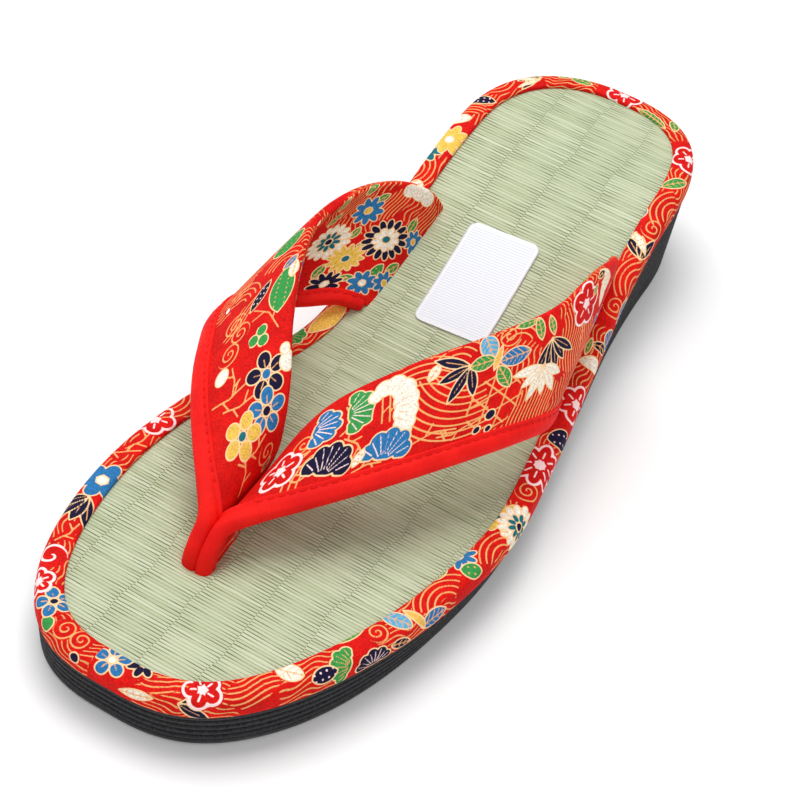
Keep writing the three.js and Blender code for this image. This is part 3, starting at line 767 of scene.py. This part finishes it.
def blade(x, y, long, wide):
    """A leaf from the origin along x: the overlap of two circles that meet at its two tips."""
    half = long / 2
    radius = (half ** 2 + (wide / 2) ** 2) / wide
    shift = radius - wide / 2
    return np.hypot(x - half, np.abs(y) + shift) - radius


def stroke(x, y, x0, y0, x1, y1):
    """Distance from a straight line between two points."""
    dx, dy = x1 - x0, y1 - y0
    t = np.clip(((x - x0) * dx + (y - y0) * dy) / (dx * dx + dy * dy), 0, 1)
    return np.hypot(x - x0 - t * dx, y - y0 - t * dy)


def turned(x, y, angle):
    """Places seen from axes turned by the angle in degrees."""
    c, s = np.cos(np.radians(angle)), np.sin(np.radians(angle))
    return c * x + s * y, c * y - s * x


def petals(x, y, count, near, far, wide):
    """A ring of oval petals: the angle is folded into one petal's share of the circle."""
    share = TAU / count
    angle = (np.arctan2(y, x) + share / 2) % share - share / 2
    r = np.hypot(x, y)
    return oval(r * np.cos(angle) - (near + far) / 2, r * np.sin(angle), (far - near) / 2, wide / 2)


def rays(x, y, count, near, far):
    """Distance from straight lines that leave the centre, between two radii."""
    share = TAU / count
    angle = (np.arctan2(y, x) + share / 2) % share - share / 2
    r = np.hypot(x, y)
    px, py = r * np.cos(angle), r * np.sin(angle)
    return np.hypot(np.maximum(np.maximum(near - px, px - far), 0), py)


class Cloth:
    """Ink fields over part of a cloth, in the axes of one motif. A fill cuts every other ink back to its edge, and
    bare keeps the distance to whatever is printed."""

    def __init__(self, fields, where, x, y):
        self.fields, self.where, self.x, self.y = fields, where, x, y

    def hold(self, distance):
        """Keeps the flowing lines out of a shape."""
        self.fields["bare"][self.where] = np.minimum(self.fields["bare"][self.where], distance)

    def clear(self, distance):
        """Cuts every ink back to the edge of a shape."""
        for ink in INKS:
            self.fields[ink][self.where] = np.maximum(self.fields[ink][self.where], -distance)
        self.hold(distance)

    def fill(self, ink, distance):
        """Inks a shape, over whatever lay there."""
        self.clear(distance)
        self.fields[ink][self.where] = np.minimum(self.fields[ink][self.where], distance)

    def draw(self, distance, width=0.36, ink="gold"):
        """Inks a line of a width along the places where the distance is 0."""
        self.fields[ink][self.where] = np.minimum(self.fields[ink][self.where], distance - width / 2)


def plum(c, size, ink, heart):
    """Five oval petals, apart from each other, round a heart, with a vein along each petal."""
    x, y = c.x, c.y
    c.fill(ink, petals(x, y, 5, size * 0.24, size, size * 0.66))
    c.draw(rays(x, y, 5, size * 0.30, size * 0.62), 0.34)
    c.fill(heart, disc(x, y, size * 0.22))


def daisy(c, size, ink, heart, count=11):
    """Narrow petals round a heart."""
    x, y = c.x, c.y
    c.fill(ink, petals(x, y, count, size * 0.20, size, size * 3.9 / count))
    c.fill(heart, disc(x, y, size * 0.24))


def double_daisy(c, size, ink, inner, heart):
    """A rim of many petals, a ring of other petals inside it, and a heart."""
    x, y = c.x, c.y
    c.fill(ink, petals(x, y, 15, size * 0.46, size, size * 0.29))
    c.fill(inner, petals(x, y, 9, size * 0.16, size * 0.58, size * 0.25))
    c.fill(heart, disc(x, y, size * 0.18))


def pine(c, size, ink, vein, tall=1.0):
    """A pine clump: round lobes on an arc over a flat foot, with veins fanning out of the foot."""
    x, y = c.x, c.y / tall
    body = oval(x, y - size * 0.30, size * 0.66, size * 0.46)
    for angle in (4, 48, 90, 132, 176):
        a = np.radians(angle)
        lobe_x, lobe_y = size * 0.68 * np.cos(a), size * (0.1 + 0.54 * np.sin(a))
        body = np.minimum(body, disc(x - lobe_x, y - lobe_y, size * 0.33))
    body = np.maximum(body, -y - size * 0.14)
    c.fill(ink, body)
    foot_y = y + size * 0.22
    angle = np.arctan2(foot_y, x)
    r = np.hypot(x, foot_y)
    fan = np.abs((angle * 10 / np.pi) % 1 - 0.5) * r * np.pi / 10
    c.draw(np.maximum(fan, np.maximum(body + 0.8, size * 0.3 - r)), 0.27, vein)


# Lobes of the white clump as shares of the size: along, across, radius
CLUMP = [
    (-0.56, 0.60, 0.20), (-0.32, 0.80, 0.27), (0.00, 0.82, 0.31), (0.27, 0.60, 0.34), (0.37, 0.26, 0.36),
    (0.41, -0.10, 0.35), (0.43, -0.45, 0.31), (0.44, -0.74, 0.25),
]


def crescent_pine(c, size, ink):
    """A pine clump bent like a hook: thick lobes over a bare middle with twigs."""
    x, y = c.x, c.y
    body = np.full_like(x, FAR)
    for along, across, radius in CLUMP:
        body = np.minimum(body, disc(x - size * along, y - size * across, size * radius))
    c.clear(oval(x + size * 0.15, y - size * 0.1, size * 0.42, size * 0.7))
    c.fill(ink, body)
    c.draw(np.maximum(rays(x + size * 0.5, y - size * 0.1, 26, size * 0.72, size * 1.0), body + 0.5), 0.24)
    for shift in (-0.34, -0.12):
        c.draw(stroke(x, y, size * shift, size * 0.5, size * (shift + 0.1), -size * 0.3), 0.44)
        c.draw(stroke(x, y, size * (shift + 0.06), 0.0, size * (shift + 0.24), size * 0.2), 0.4)


def blades(c, size, ink, spread, count=5, wide=0.26):
    """Bamboo leaves: pointed blades that fan out of a stem."""
    for k, angle in enumerate(np.linspace(-spread / 2, spread / 2, count)):
        u, v = turned(c.x, c.y, angle)
        long = size * (1.0 if k % 2 == 0 else 0.84)
        c.fill(ink, blade(u, v, long, size * wide))
        c.draw(stroke(u, v, 0, 0, long * 0.7, 0), 0.26)


def leaf(c, size, ink, dots, wide=0.5):
    """A single leaf with a midrib and side veins, or with two rows of dots."""
    x, y = c.x, c.y
    body = blade(x + size / 2, y, size, size * wide)
    c.fill(ink, body)
    if dots:
        step = (x % 1.7) - 0.85
        c.draw(np.maximum(np.hypot(step, np.abs(y) - size * wide * 0.2), body + 0.4), 0.6, dots)
    else:
        c.draw(np.maximum(np.abs(y), body + 0.2), 0.34)
        c.draw(np.maximum(np.abs(((x + np.abs(y) * 0.9) / 1.7) % 1 - 0.5) * 1.3, body + 0.4), 0.26)


def ring_dots(c, size, ink, count):
    """Round berries."""
    for k in range(count):
        a = TAU * k / max(count, 1) + 0.5
        gap = 0 if count == 1 else size * 1.15
        c.fill(ink, disc(c.x - gap * np.cos(a), c.y - gap * np.sin(a), size))


def scroll(c, size, pitch=1.9, ink="gold"):
    """A spiral line that opens by one pitch a turn."""
    r, angle = np.hypot(c.x, c.y), np.arctan2(c.y, c.x)
    d = np.abs((r / pitch - angle / TAU + 0.5) % 1 - 0.5) * pitch
    c.hold(r - size)
    c.draw(np.maximum(d, r - size), 0.44 if ink == "gold" else 0.7, ink)


def arcs(c, size, spread, pitch, start):
    """Rings of one centre inside a fan, from a share of the size outwards."""
    r, angle = np.hypot(c.x, c.y), np.degrees(np.arctan2(c.y, c.x))
    d = np.abs((r / pitch) % 1 - 0.5) * pitch
    window = np.maximum((np.abs(angle) - spread / 2) * r * 0.0175, np.maximum(r - size, size * start - r))
    c.hold(window)
    c.draw(np.maximum(d, window), 0.44)


def stream(c, size, wide, pitch):
    """Parallel lines that bend together like water, inside a pointed window."""
    x, y = c.x, c.y
    bent = y + 1.2 * np.sin(x * 0.33)
    d = np.abs((bent / pitch) % 1 - 0.5) * pitch
    window = blade(x + size / 2, bent, size, wide)
    c.hold(window)
    c.draw(np.maximum(d, window), 0.42)


def lattice(c, size, pitch):
    """Three sets of straight lines that make triangles, inside a round window."""
    c.hold(disc(c.x, c.y, size))
    for angle in (0, 60, 120):
        v = turned(c.x, c.y, angle)[1]
        d = np.abs((v / pitch) % 1 - 0.5) * pitch
        c.draw(np.maximum(d, disc(c.x, c.y, size)), 0.46)


def outline_blossom(c, size, count=5, ink="pink"):
    """A blossom drawn in line alone: petals, a heart and stamens."""
    x, y = c.x, c.y
    body = petals(x, y, count, size * 0.16, size, size * 4.4 / count)
    c.clear(np.minimum(body - 0.4, disc(x, y, size * 0.4)))
    c.draw(np.abs(body), 0.72, ink)
    c.draw(rays(x, y, count, size * 0.34, size * 0.62), 0.5, ink)
    c.draw(disc(x, y, size * 0.10), 0.4, ink)


def cloud(c, size, ink):
    """A drifting cloud: overlapping circles on a line, with fine rays."""
    x, y = c.x, c.y
    body = np.minimum(np.minimum(disc(x + size * 0.55, y, size * 0.34), disc(x, y - size * 0.12, size * 0.46)),
                      disc(x - size * 0.5, y + size * 0.04, size * 0.36))
    c.fill(ink, body)
    c.draw(np.maximum(rays(x, y + size * 0.6, 30, 0, size * 2), body + 0.6), 0.14)


def twig(c, size):
    """A bent stem with side shoots."""
    x, y = c.x, c.y
    d = stroke(x, y, -size, 0, 0, size * 0.18)
    d = np.minimum(d, stroke(x, y, 0, size * 0.18, size, -size * 0.1))
    d = np.minimum(d, stroke(x, y, -size * 0.4, size * 0.1, -size * 0.1, size * 0.6))
    d = np.minimum(d, stroke(x, y, size * 0.3, size * 0.08, size * 0.55, -size * 0.45))
    c.hold(d - 0.9)
    c.draw(d, 0.44)


MOTIFS = dict(
    plum=plum, daisy=daisy, double=double_daisy, pine=pine, crescent=crescent_pine, blades=blades, leaf=leaf,
    dots=ring_dots, scroll=scroll, arcs=arcs, stream=stream, lattice=lattice, outline=outline_blossom, cloud=cloud,
    twig=twig,
)


def rim_flow(p, q):
    """Lines that run round the rim 1.5 mm apart and wave together, and how far each place is inside their window."""
    level = q + 1.1 * np.sin(p * 0.30 + 0.8 * np.sin(p * 0.11)) + 0.5 * np.sin(p * 0.75 + q * 0.6)
    return level / 1.5, 1.3 + 2.0 * np.sin(p * 0.19 + 0.7 * np.sin(p * 0.07))


def band_flow(p, q):
    """Lines that cross the band 1.9 mm apart and wave together, and how far each place is inside their window: patches
    behind the middle of the band, none near the toe."""
    level = p + 1.6 * np.sin(q * 0.30 + p * 0.10) + 0.6 * np.sin(q * 0.85 + 1.0 + p * 0.05)
    patch = 0.4 + 2.2 * np.sin(p * 0.21 + 1.2 * np.sin(q * 0.22))
    return level / 1.9, np.minimum(patch, (p - 52) * 0.2)


def lining_flow(p, q):
    """The same lines on the inner face, in patches along its rear half."""
    level, patch = band_flow(p + 60, q)
    return level, np.minimum(patch + 0.6, (q - 24) * 0.3)


def print_cloth(place, wide, chart, flow):
    """Lays the motifs of a chart one over the other. A row holds the motif, its place along and across the cloth, its
    size, its turn in degrees, and what the motif itself asks for. The flow fills what stays bare."""
    fields = {ink: np.full(place.size, FAR) for ink in (*INKS, "bare")}
    p, q = place.ravel(), wide.ravel()
    for kind, along, across, size, angle, *rest in chart:
        where = np.flatnonzero((np.abs(p - along) < size * 1.5 + 1) & (np.abs(q - across) < size * 1.5 + 1))
        if len(where):
            x, y = turned(p[where] - along, q[where] - across, angle)
            MOTIFS[kind](Cloth(fields, where, x, y), size, *rest)
    stacked = np.stack([np.clip(fields[ink], -FAR, FAR) for ink in INKS], -1).reshape(*place.shape, len(INKS))
    inks = {f"ink_{k // 3}": stacked[..., k:k + 3] for k in range(0, len(INKS), 3)}
    level, window = flow(p, q)
    inks["flow"] = np.stack([level, np.minimum(fields["bare"], window), 0 * level], -1).reshape(*place.shape, 3)
    return inks


# Charts of the print. A row: motif, millimetres along the cloth from the seam (on the rim, from the toe), millimetres
# across it from the front edge (on the rim, from the foot of its side), size, turn in degrees, then the motif's own
# words. Later rows lie over earlier ones.
OUTER_FACE = [
    ("arcs", 57, 31, 27, -114, 84, 1.9, 0.45),
    ("arcs", 43, 13, 18, 84, 60, 1.9, 0.55),
    ("arcs", 22, 5, 11, 160, 70, 1.8, 0.5),
    ("scroll", 14, 16, 3.2, 0, 1.8),
    ("scroll", 15, 8, 2.8, 120, 1.7),
    ("twig", 25, 18, 5, -75),
    ("twig", 28, 11, 4, -40),
    ("twig", 49, 8, 6, 8),
    ("twig", 54, 7.5, 4, 190),
    ("twig", 33, 4.6, 3.5, 10),
    ("twig", 13, 12, 4, 50),
    ("lattice", 65, 13, 8, 20, 5.0),
    ("stream", 79, 9, 15, 96, 17, 1.35),
    ("stream", 92, 26, 24, 100, 14, 1.4),
    ("stream", 103, 18, 36, 100, 13, 1.5),
    ("arcs", 52, 25, 9, 92, 100, 2.0, 0.5),
    ("arcs", 70, 27, 9, 85, 110, 2.0, 0.4),
    ("scroll", 67, 32, 3.4, 0, 1.8),
    ("outline", 9.5, 10.5, 5.2, 20),
    ("pine", 16.6, 19.2, 5.4, -97, "blue", "pink", 1.3),
    ("pine", 25.4, 20.6, 6.2, -84, "green", "pink", 1.1),
    ("crescent", 36, 18, 9.0, 0, "white"),
    ("pine", 36.6, 6.4, 6.7, -9, "blue", "pink", 1.1),
    ("pine", 21.8, 6.4, 6.6, -14, "navy", "pink", 1.15),
    ("leaf", 30, 7.5, 4.6, 70, "white", "gold", 0.5),
    ("leaf", 46, 26, 5, 60, "white", None, 0.55),
    ("blades", 56, 25.5, 11, 220, "navy", 122, 4, 0.27),
    ("leaf", 61, 30, 8.5, 112, "sky", None, 0.62),
    ("leaf", 69.5, 25.3, 9.8, 8, "blue", None, 0.56),
    ("leaf", 59.5, 25.5, 7.6, 5, "green", None, 0.58),
    ("leaf", 66.5, 20, 8.4, -58, "green", None, 0.48),
    ("leaf", 64, 26, 7.4, 75, "yellow", None, 0.26),
    ("leaf", 72.5, 34.5, 8, 5, "green", None, 0.35),
    ("leaf", 77, 32, 8, -75, "green", None, 0.38),
    ("leaf", 81.5, 32, 7, -70, "green", None, 0.36),
    ("blades", 82, 28, 12, -72, "navy", 88, 5, 0.24),
    ("blades", 80, 20, 10.5, -100, "white", 150, 6, 0.28),
    ("outline", 97, 35.5, 7, 20),
    ("dots", 64.5, 9.5, 1.5, 0, "navy", 1),
    ("dots", 61.5, 6, 1.1, 0, "navy", 1),
    ("dots", 65, 5.5, 1.0, 0, "navy", 1),
    ("leaf", 102, 39, 4, 60, "green", None, 0.5),
    ("leaf", 108, 38, 10, 95, "white", "gold", 0.4),
    ("blades", 113, 42, 9, 190, "white", 60, 3, 0.25),
    ("leaf", 105, 43.5, 5, 20, "navy", None, 0.5),
    ("plum", 113, 27, 6, 10, "blue", "navy"),
    ("leaf", 113, 12, 8, 40, "green", "gold", 0.5),
    ("pine", 120, 9, 6.2, 12, "navy", "pink", 1.1),
    ("daisy", 124, 21, 5.6, 0, "yellow", "teal", 11),
    ("leaf", 118.5, 19, 6, 120, "green", None, 0.5),
    ("outline", 122, 35, 6, 0),
    ("arcs", 131, 30, 9, 180, 120, 1.8, 0.3),
]
CHRYSANTHEMUMS = [
    ("stream", 94, 38, 15, 70, 9, 1.3),
    ("stream", 109, 37, 14, 80, 9, 1.3),
    ("stream", 123, 34, 14, 75, 9, 1.3),
    ("leaf", 98, 43, 6, 60, "green", None, 0.55),
    ("leaf", 104, 39, 5.5, 40, "green", None, 0.5),
    ("leaf", 88, 39, 6, 70, "green", None, 0.45),
    ("leaf", 89, 32, 6, 60, "green", None, 0.45),
    ("leaf", 119, 30.5, 6.5, 80, "green", None, 0.5),
    ("leaf", 100.5, 25.5, 5, 70, "green", None, 0.5),
    ("leaf", 105, 21.5, 5, 20, "green", None, 0.5),
    ("leaf", 113, 11.5, 7, 70, "green", "gold", 0.55),
    ("leaf", 95.5, 10.5, 6, 75, "green", None, 0.5),
    ("leaf", 104.5, 7.5, 5.5, 10, "green", None, 0.5),
    ("leaf", 118, 14.5, 6, 50, "green", None, 0.5),
    ("daisy", 99.5, 5.5, 5.2, 18, "navy", "white", 10),
    ("daisy", 110.5, 6.5, 4.8, 0, "blue", "white", 8),
    ("daisy", 117.5, 9, 4.2, 10, "blue", "yellow", 8),
    ("daisy", 122, 25.5, 4.2, 0, "blue", "yellow", 8),
    ("daisy", 101, 34, 5.6, 0, "blue", "yellow", 9),
    ("double", 93, 22, 7.2, 0, "white", "teal", "navy"),
    ("daisy", 101.5, 15.5, 5.8, 0, "yellow", "teal", 12),
    ("double", 111.5, 23.5, 8.0, 0, "navy", "white", "teal"),
    ("cloud", 117, 42, 7.5, -10, "white"),
]
ARCH_FACE = [
    ("twig", 3, 12, 5, 10),
    ("twig", 7, 16, 4, 70),
    ("scroll", 4, 21, 3, 0, 1.8),
    ("twig", 24, 10.5, 5.5, 96),
    ("twig", 27, 12, 4, 10),
    ("twig", 20, 13, 5, 100),
    ("scroll", 46, 13, 3.8, 0, 1.8),
    ("scroll", 41, 15, 3.4, 90, 1.8),
    ("scroll", 36.5, 11.5, 3.6, 200, 1.8),
    ("twig", 40, 24, 7, -30),
    ("stream", 47, 15, 16, 60, 5, 1.6),
    ("arcs", 54, 13, 9, 30, 110, 1.8, 0.3),
    ("arcs", 56, 29, 9, 0, 120, 1.8, 0.4),
    ("arcs", 70, 31, 12, 5, 100, 1.8, 0.45),
    ("stream", 66, 14, 20, 40, 8, 1.5),
    ("leaf", 0.5, 22, 4, 45, "navy", None, 0.5),
    ("plum", 23, 22, 6.3, 0, "navy", "blue"),
    ("plum", 14, 20.5, 6.0, 10, "blue", "navy"),
    ("plum", 11.5, 12.5, 5.8, 30, "yellow", "teal"),
    ("dots", 34.5, 21.5, 1.7, 0, "green", 3),
    ("dots", 23.5, 28.8, 2.6, 0, "white", 1),
    ("dots", 27, 28.6, 1.5, 0, "white", 1),
    ("dots", 31, 8.8, 2.2, 0, "white", 1),
    ("leaf", 50.5, 21.7, 11, 38, "navy", "pink", 0.38),
    ("leaf", 47, 29.5, 17, 12, "green", "gold", 0.5),
    ("leaf", 52.5, 33.5, 7, 10, "white", None, 0.5),
    ("leaf", 56.5, 32, 6, 60, "blue", None, 0.6),
    ("leaf", 57.5, 8.5, 2.6, 0, "pink", None, 0.6),
    ("leaf", 68.5, 29.5, 12, 70, "green", "gold", 0.75),
    ("blades", 87, 33.5, 9.5, 190, "navy", 70, 4, 0.28),
    ("pine", 78, 14, 6, 10, "blue", "pink", 1.1),
    ("outline", 92, 17, 6.5, 0),
    ("blades", 104, 30, 10, 200, "navy", 120, 5, 0.27),
    ("double", 108, 14, 7, 0, "navy", "white", "teal"),
    ("stream", 98, 36, 18, 20, 9, 1.5),
    ("leaf", 100, 18, 6, 60, "green", None, 0.5),
    ("pine", 118, 26, 6.2, -10, "green", "pink", 1.1),
    ("plum", 119, 13, 5.6, 20, "blue", "navy"),
    ("leaf", 96, 26, 7, 100, "white", "gold", 0.45),
    ("arcs", 126, 20, 9, 180, 120, 1.8, 0.3),
]
RIM_CHART = [
    ("scroll", 11, 8.5, 3, 0, 1.7),
    ("scroll", 5.5, 9, 2.8, 90, 1.6),
    ("dots", 4, 4.5, 1.3, 0, "navy", 1),
    ("dots", 15.5, 5.5, 1.9, 0, "green", 1),
    ("plum", 21, 9, 5, 0, "blue", "navy"),
    ("outline", 28.5, 5.5, 4, 0),
    ("scroll", 36.5, 7.5, 3.6, 0, 3.4, "pink"),
    ("twig", 45, 9, 4, 30),
    ("blades", 58, 9, 11, 200, "navy", 80, 4, 0.3),
    ("daisy", 64.5, 9, 6.4, 10, "blue", "white", 6),
    ("twig", 76, 7, 5, 60),
    ("twig", 82, 8.5, 5, 10),
    ("outline", 90, 6.5, 5.4, 0),
    ("arcs", 98, 3, 8, 90, 110, 1.7, 0.3),
    ("plum", 107, 7, 4.6, 0, "yellow", "teal"),
    ("blades", 118, 6, 9, 10, "navy", 80, 4, 0.3),
    ("scroll", 130, 8, 3.2, 0, 1.7),
    ("pine", 138, 5, 5, 0, "green", "gold", 1.0),
    ("leaf", 150, 9, 16, 5, "yellow", "gold", 0.36),
    ("daisy", 163, 6, 5.4, 0, "blue", "yellow", 9),
    ("outline", 174, 7, 5, 0),
    ("stream", 185, 7, 14, 0, 6, 1.4),
    ("cloud", 199, 8, 6.5, 0, "white"),
    ("arcs", 208, 3, 8, 90, 110, 1.6, 0.3),
    ("daisy", 216, 4, 5, 0, "teal", "white", 8),
    ("daisy", 221.5, 8, 5.6, 0, "yellow", "white", 8),
    ("leaf", 230, 6, 7.5, 60, "white", "gold", 0.5),
    ("stream", 235.5, 7, 8, 90, 6, 1.3),
    ("leaf", 240, 7, 9.5, 60, "navy", "pink", 0.4),
    ("arcs", 249, 3, 7, 90, 100, 1.7, 0.4),
    ("blades", 263, 7, 10, 180, "navy", 50, 3, 0.24),
    ("blades", 262, 8.6, 9, 186, "white", 30, 2, 0.14),
    ("leaf", 271, 6, 6, -20, "green", None, 0.4),
    ("leaf", 275.5, 7.5, 8, 20, "green", None, 0.5),
    ("outline", 290, 8, 5.6, 0),
    ("leaf", 303, 11.4, 14, 0, "green", None, 0.22),
    ("leaf", 310, 7.5, 6.5, 30, "green", None, 0.5),
    ("outline", 326, 6.5, 5.6, 0),
    ("leaf", 338, 8.5, 8.5, 50, "green", None, 0.45),
    ("arcs", 348, 3, 9, 90, 110, 1.8, 0.3),
    ("leaf", 352, 12, 4, 0, "blue", None, 0.5),
    ("scroll", 356, 7, 3.4, 0, 1.7),
    ("leaf", 361, 11.5, 4, 20, "white", None, 0.5),
    ("blades", 367, 6, 9, 160, "navy", 60, 3, 0.3),
    ("leaf", 362, 8.2, 8, 130, "white", "gold", 0.26),
    ("arcs", 374, 1, 10, 88, 90, 1.7, 0.3),
    ("scroll", 384, 6.5, 3.4, 0, 1.7),
    ("leaf", 382, 2.8, 9, 0, "blue", None, 0.35),
    ("leaf", 393, 3.5, 7.5, 10, "blue", None, 0.6),
    ("leaf", 397.5, 5.5, 6, 80, "navy", None, 0.5),
    ("leaf", 399, 9, 6, 0, "green", None, 0.3),
    ("leaf", 403.5, 6, 8.5, 80, "white", "gold", 0.5),
    ("outline", 418, 5.5, 6, 0, 6),
    ("leaf", 431, 5.5, 9, 60, "navy", "pink", 0.7),
    ("outline", 443, 8, 7.4, 0, 8),
    ("scroll", 453, 8, 3.4, 0, 1.7),
    ("daisy", 465, 11, 5.8, 0, "yellow", "teal", 9),
    ("double", 464.5, 5, 6.6, 0, "white", "teal", "navy"),
    ("arcs", 475, 2, 9, 90, 110, 1.8, 0.4),
    ("daisy", 483.5, 12.5, 5, 0, "blue", "white", 10),
    ("leaf", 485, 7, 6, 45, "green", "gold", 0.75),
    ("leaf", 491.5, 12, 5.5, 0, "green", None, 0.4),
    ("arcs", 497, 3, 10, 90, 120, 1.8, 0.35),
    ("leaf", 501.5, 3.8, 9, 0, "blue", None, 0.5),
    ("leaf", 510.5, 9, 8.4, 60, "sky", None, 0.55),
    ("leaf", 506, 6.5, 8, 70, "yellow", None, 0.28),
    ("leaf", 512.5, 3, 6.5, 20, "navy", None, 0.45),
    ("scroll", 517, 9, 2.8, 0, 1.6),
    ("pine", 521, 2, 5.2, 0, "navy", "pink", 0.8),
    ("leaf", 523, 12, 9, 0, "green", None, 0.3),
    ("pine", 528, 5, 5, -60, "green", "gold", 1.0),
    ("leaf", 534.5, 5.5, 7, 0, "navy", "pink", 0.6),
    ("leaf", 542, 9.5, 7, 40, "white", None, 0.7),
    ("stream", 552, 8, 16, 0, 8, 1.4),
    ("blades", 570, 5, 10, 190, "navy", 40, 2, 0.3),
    ("outline", 564.5, 9, 5, 0),
    ("stream", 574, 9, 13, 0, 5, 1.5),
    ("leaf", 580, 4, 8.5, -10, "white", None, 0.3),
    ("daisy", 582, 12.5, 4.6, 0, "navy", "blue", 8),
    ("plum", 589, 9, 4.8, 0, "blue", "white"),
]
POST_WEB = [
    ("twig", -14, 9, 4.5, 70),
    ("leaf", -17, 12.5, 6, 100, "navy", "pink", 0.5),
    ("scroll", -8, 11.5, 3, 0, 1.7),
    ("leaf", -9, 16.5, 7, 60, "white", "gold", 0.45),
    ("leaf", -4, 20, 6, 70, "green", None, 0.4),
]
BAND_BACK = POST_WEB + CHRYSANTHEMUMS + [(row[0], row[1] - 48, *row[2:]) for row in CHRYSANTHEMUMS]


cloth = printed_cloth("red_printed_crepe")
bias = red_bias("red_bias_strip", shade(242, 26, 18), shade(220, 16, 14))
thread = red_bias("red_thread", shade(234, 26, 20), shade(208, 14, 14))

make_sole(sole_sponge("black_sponge"))
make_mat(rush_mat("woven_rush"))
make_rim(cloth)
make_sticker(sticker_paper("coated_paper"))
make_band("outer_band", OUTER_BAND, -1, cloth, OUTER_FACE, BAND_BACK)
make_band("arch_band", ARCH_BAND, 1, cloth, ARCH_FACE, BAND_BACK)
make_piping("outer_piping", OUTER_BAND, -1, bias)
make_piping("arch_piping", ARCH_BAND, 1, bias)
make_stitches("outer_stitches", OUTER_BAND, -1, thread, 4.3, 1.80, 0.06, 0.97)
make_stitches("arch_stitches", ARCH_BAND, 1, thread, 4.3, 1.80, 0.06, 0.97)
make_stitches("outer_back_stitches", OUTER_BAND, -1, thread, 3.3, -1.82, 0.06, 0.97)
make_stitches("arch_back_stitches", ARCH_BAND, 1, thread, 3.3, -1.82, 0.06, 0.97)


# Stage, light and camera


def make_floor():
    """A level sheet a little under the sole."""
    side = np.linspace(-1600, 1600, 9)
    x, y = np.meshgrid(side, side, indexing="ij")
    points = np.stack([x, y, np.full_like(x, -0.05)], -1).reshape(-1, 3)
    made, shader, add, put, do, ramp, blend, relief = finish_of("pale_floor", 0.9, 0.1)
    place = add("TexCoord").outputs["Object"]
    tone = add("TexNoise", Vector=place, Scale=3.0).outputs[0]
    put(blend(tone, (0.92, 0.92, 0.92, 1), (0.94, 0.94, 0.94, 1)), shader.inputs["Base Color"])
    mesh = bpy.data.meshes.new("floor")
    mesh.from_pydata((points * MM).tolist(), [], quads(9, 9, False, False)[:, ::-1].tolist())
    mesh.materials.append(made)
    sheet = bpy.data.objects.new("floor", mesh)
    bpy.context.scene.collection.objects.link(sheet)


def make_light(name, place, aim, size, power):
    """A square soft light at a place, turned to its aim."""
    lamp = bpy.data.lights.new(name, "AREA")
    lamp.energy, lamp.size = power, size
    made = bpy.data.objects.new(name, lamp)
    made.location = place
    made.rotation_euler = (Vector(aim) - Vector(place)).to_track_quat("-Z", "Y").to_euler()
    bpy.context.scene.collection.objects.link(made)


EYE = np.array([170.0, -383.9, 414.4])
AIM = np.array([4.0, -6.0, 14.0])
PITCH, YAW, ROLL = 0.72892, -0.50561, 0.11199
LENS = 100.0


def make_camera():
    """The camera stands where the sandal was seen from, is aimed at its middle, and keeps the lean of the picture:
    its upright is the level camera's, turned by the roll."""
    c, s = np.cos(YAW), np.sin(YAW)
    right = np.array([c, -s, 0.0])
    ahead = np.array([s, c, 0.0])
    up = ahead * np.sin(PITCH) + np.array([0, 0, np.cos(PITCH)])
    lean = -np.sin(ROLL) * right + np.cos(ROLL) * up
    back = unit(EYE - AIM)
    across = unit(np.cross(lean, back))
    upright = np.cross(back, across)
    lens = bpy.data.cameras.new("camera")
    lens.lens, lens.sensor_width = LENS, 36.0
    lens.clip_start, lens.clip_end = 0.01, 20
    made = bpy.data.objects.new("camera", lens)
    turn = np.eye(4)
    turn[:3, :3] = np.stack([across, upright, back], -1)
    turn[:3, 3] = EYE * MM
    made.matrix_world = Matrix(turn.tolist())
    bpy.context.scene.collection.objects.link(made)
    bpy.context.scene.camera = made


make_floor()
make_light("top", (-0.25, 0.25, 1.1), (0, 0, 0), 0.75, 9)
make_light("front", (0.7, -0.8, 0.8), (0, 0, 0), 0.9, 3)
make_light("side", (-0.9, -0.3, 0.6), (0, 0, 0), 0.9, 2)
make_camera()
world = bpy.data.worlds.new("studio")
world.use_nodes = True
world.node_tree.nodes["Background"].inputs[0].default_value = (1, 1, 1, 1)
world.node_tree.nodes["Background"].inputs[1].default_value = 0.55
bpy.context.scene.world = world
bpy.context.scene.view_settings.view_transform = "Standard"
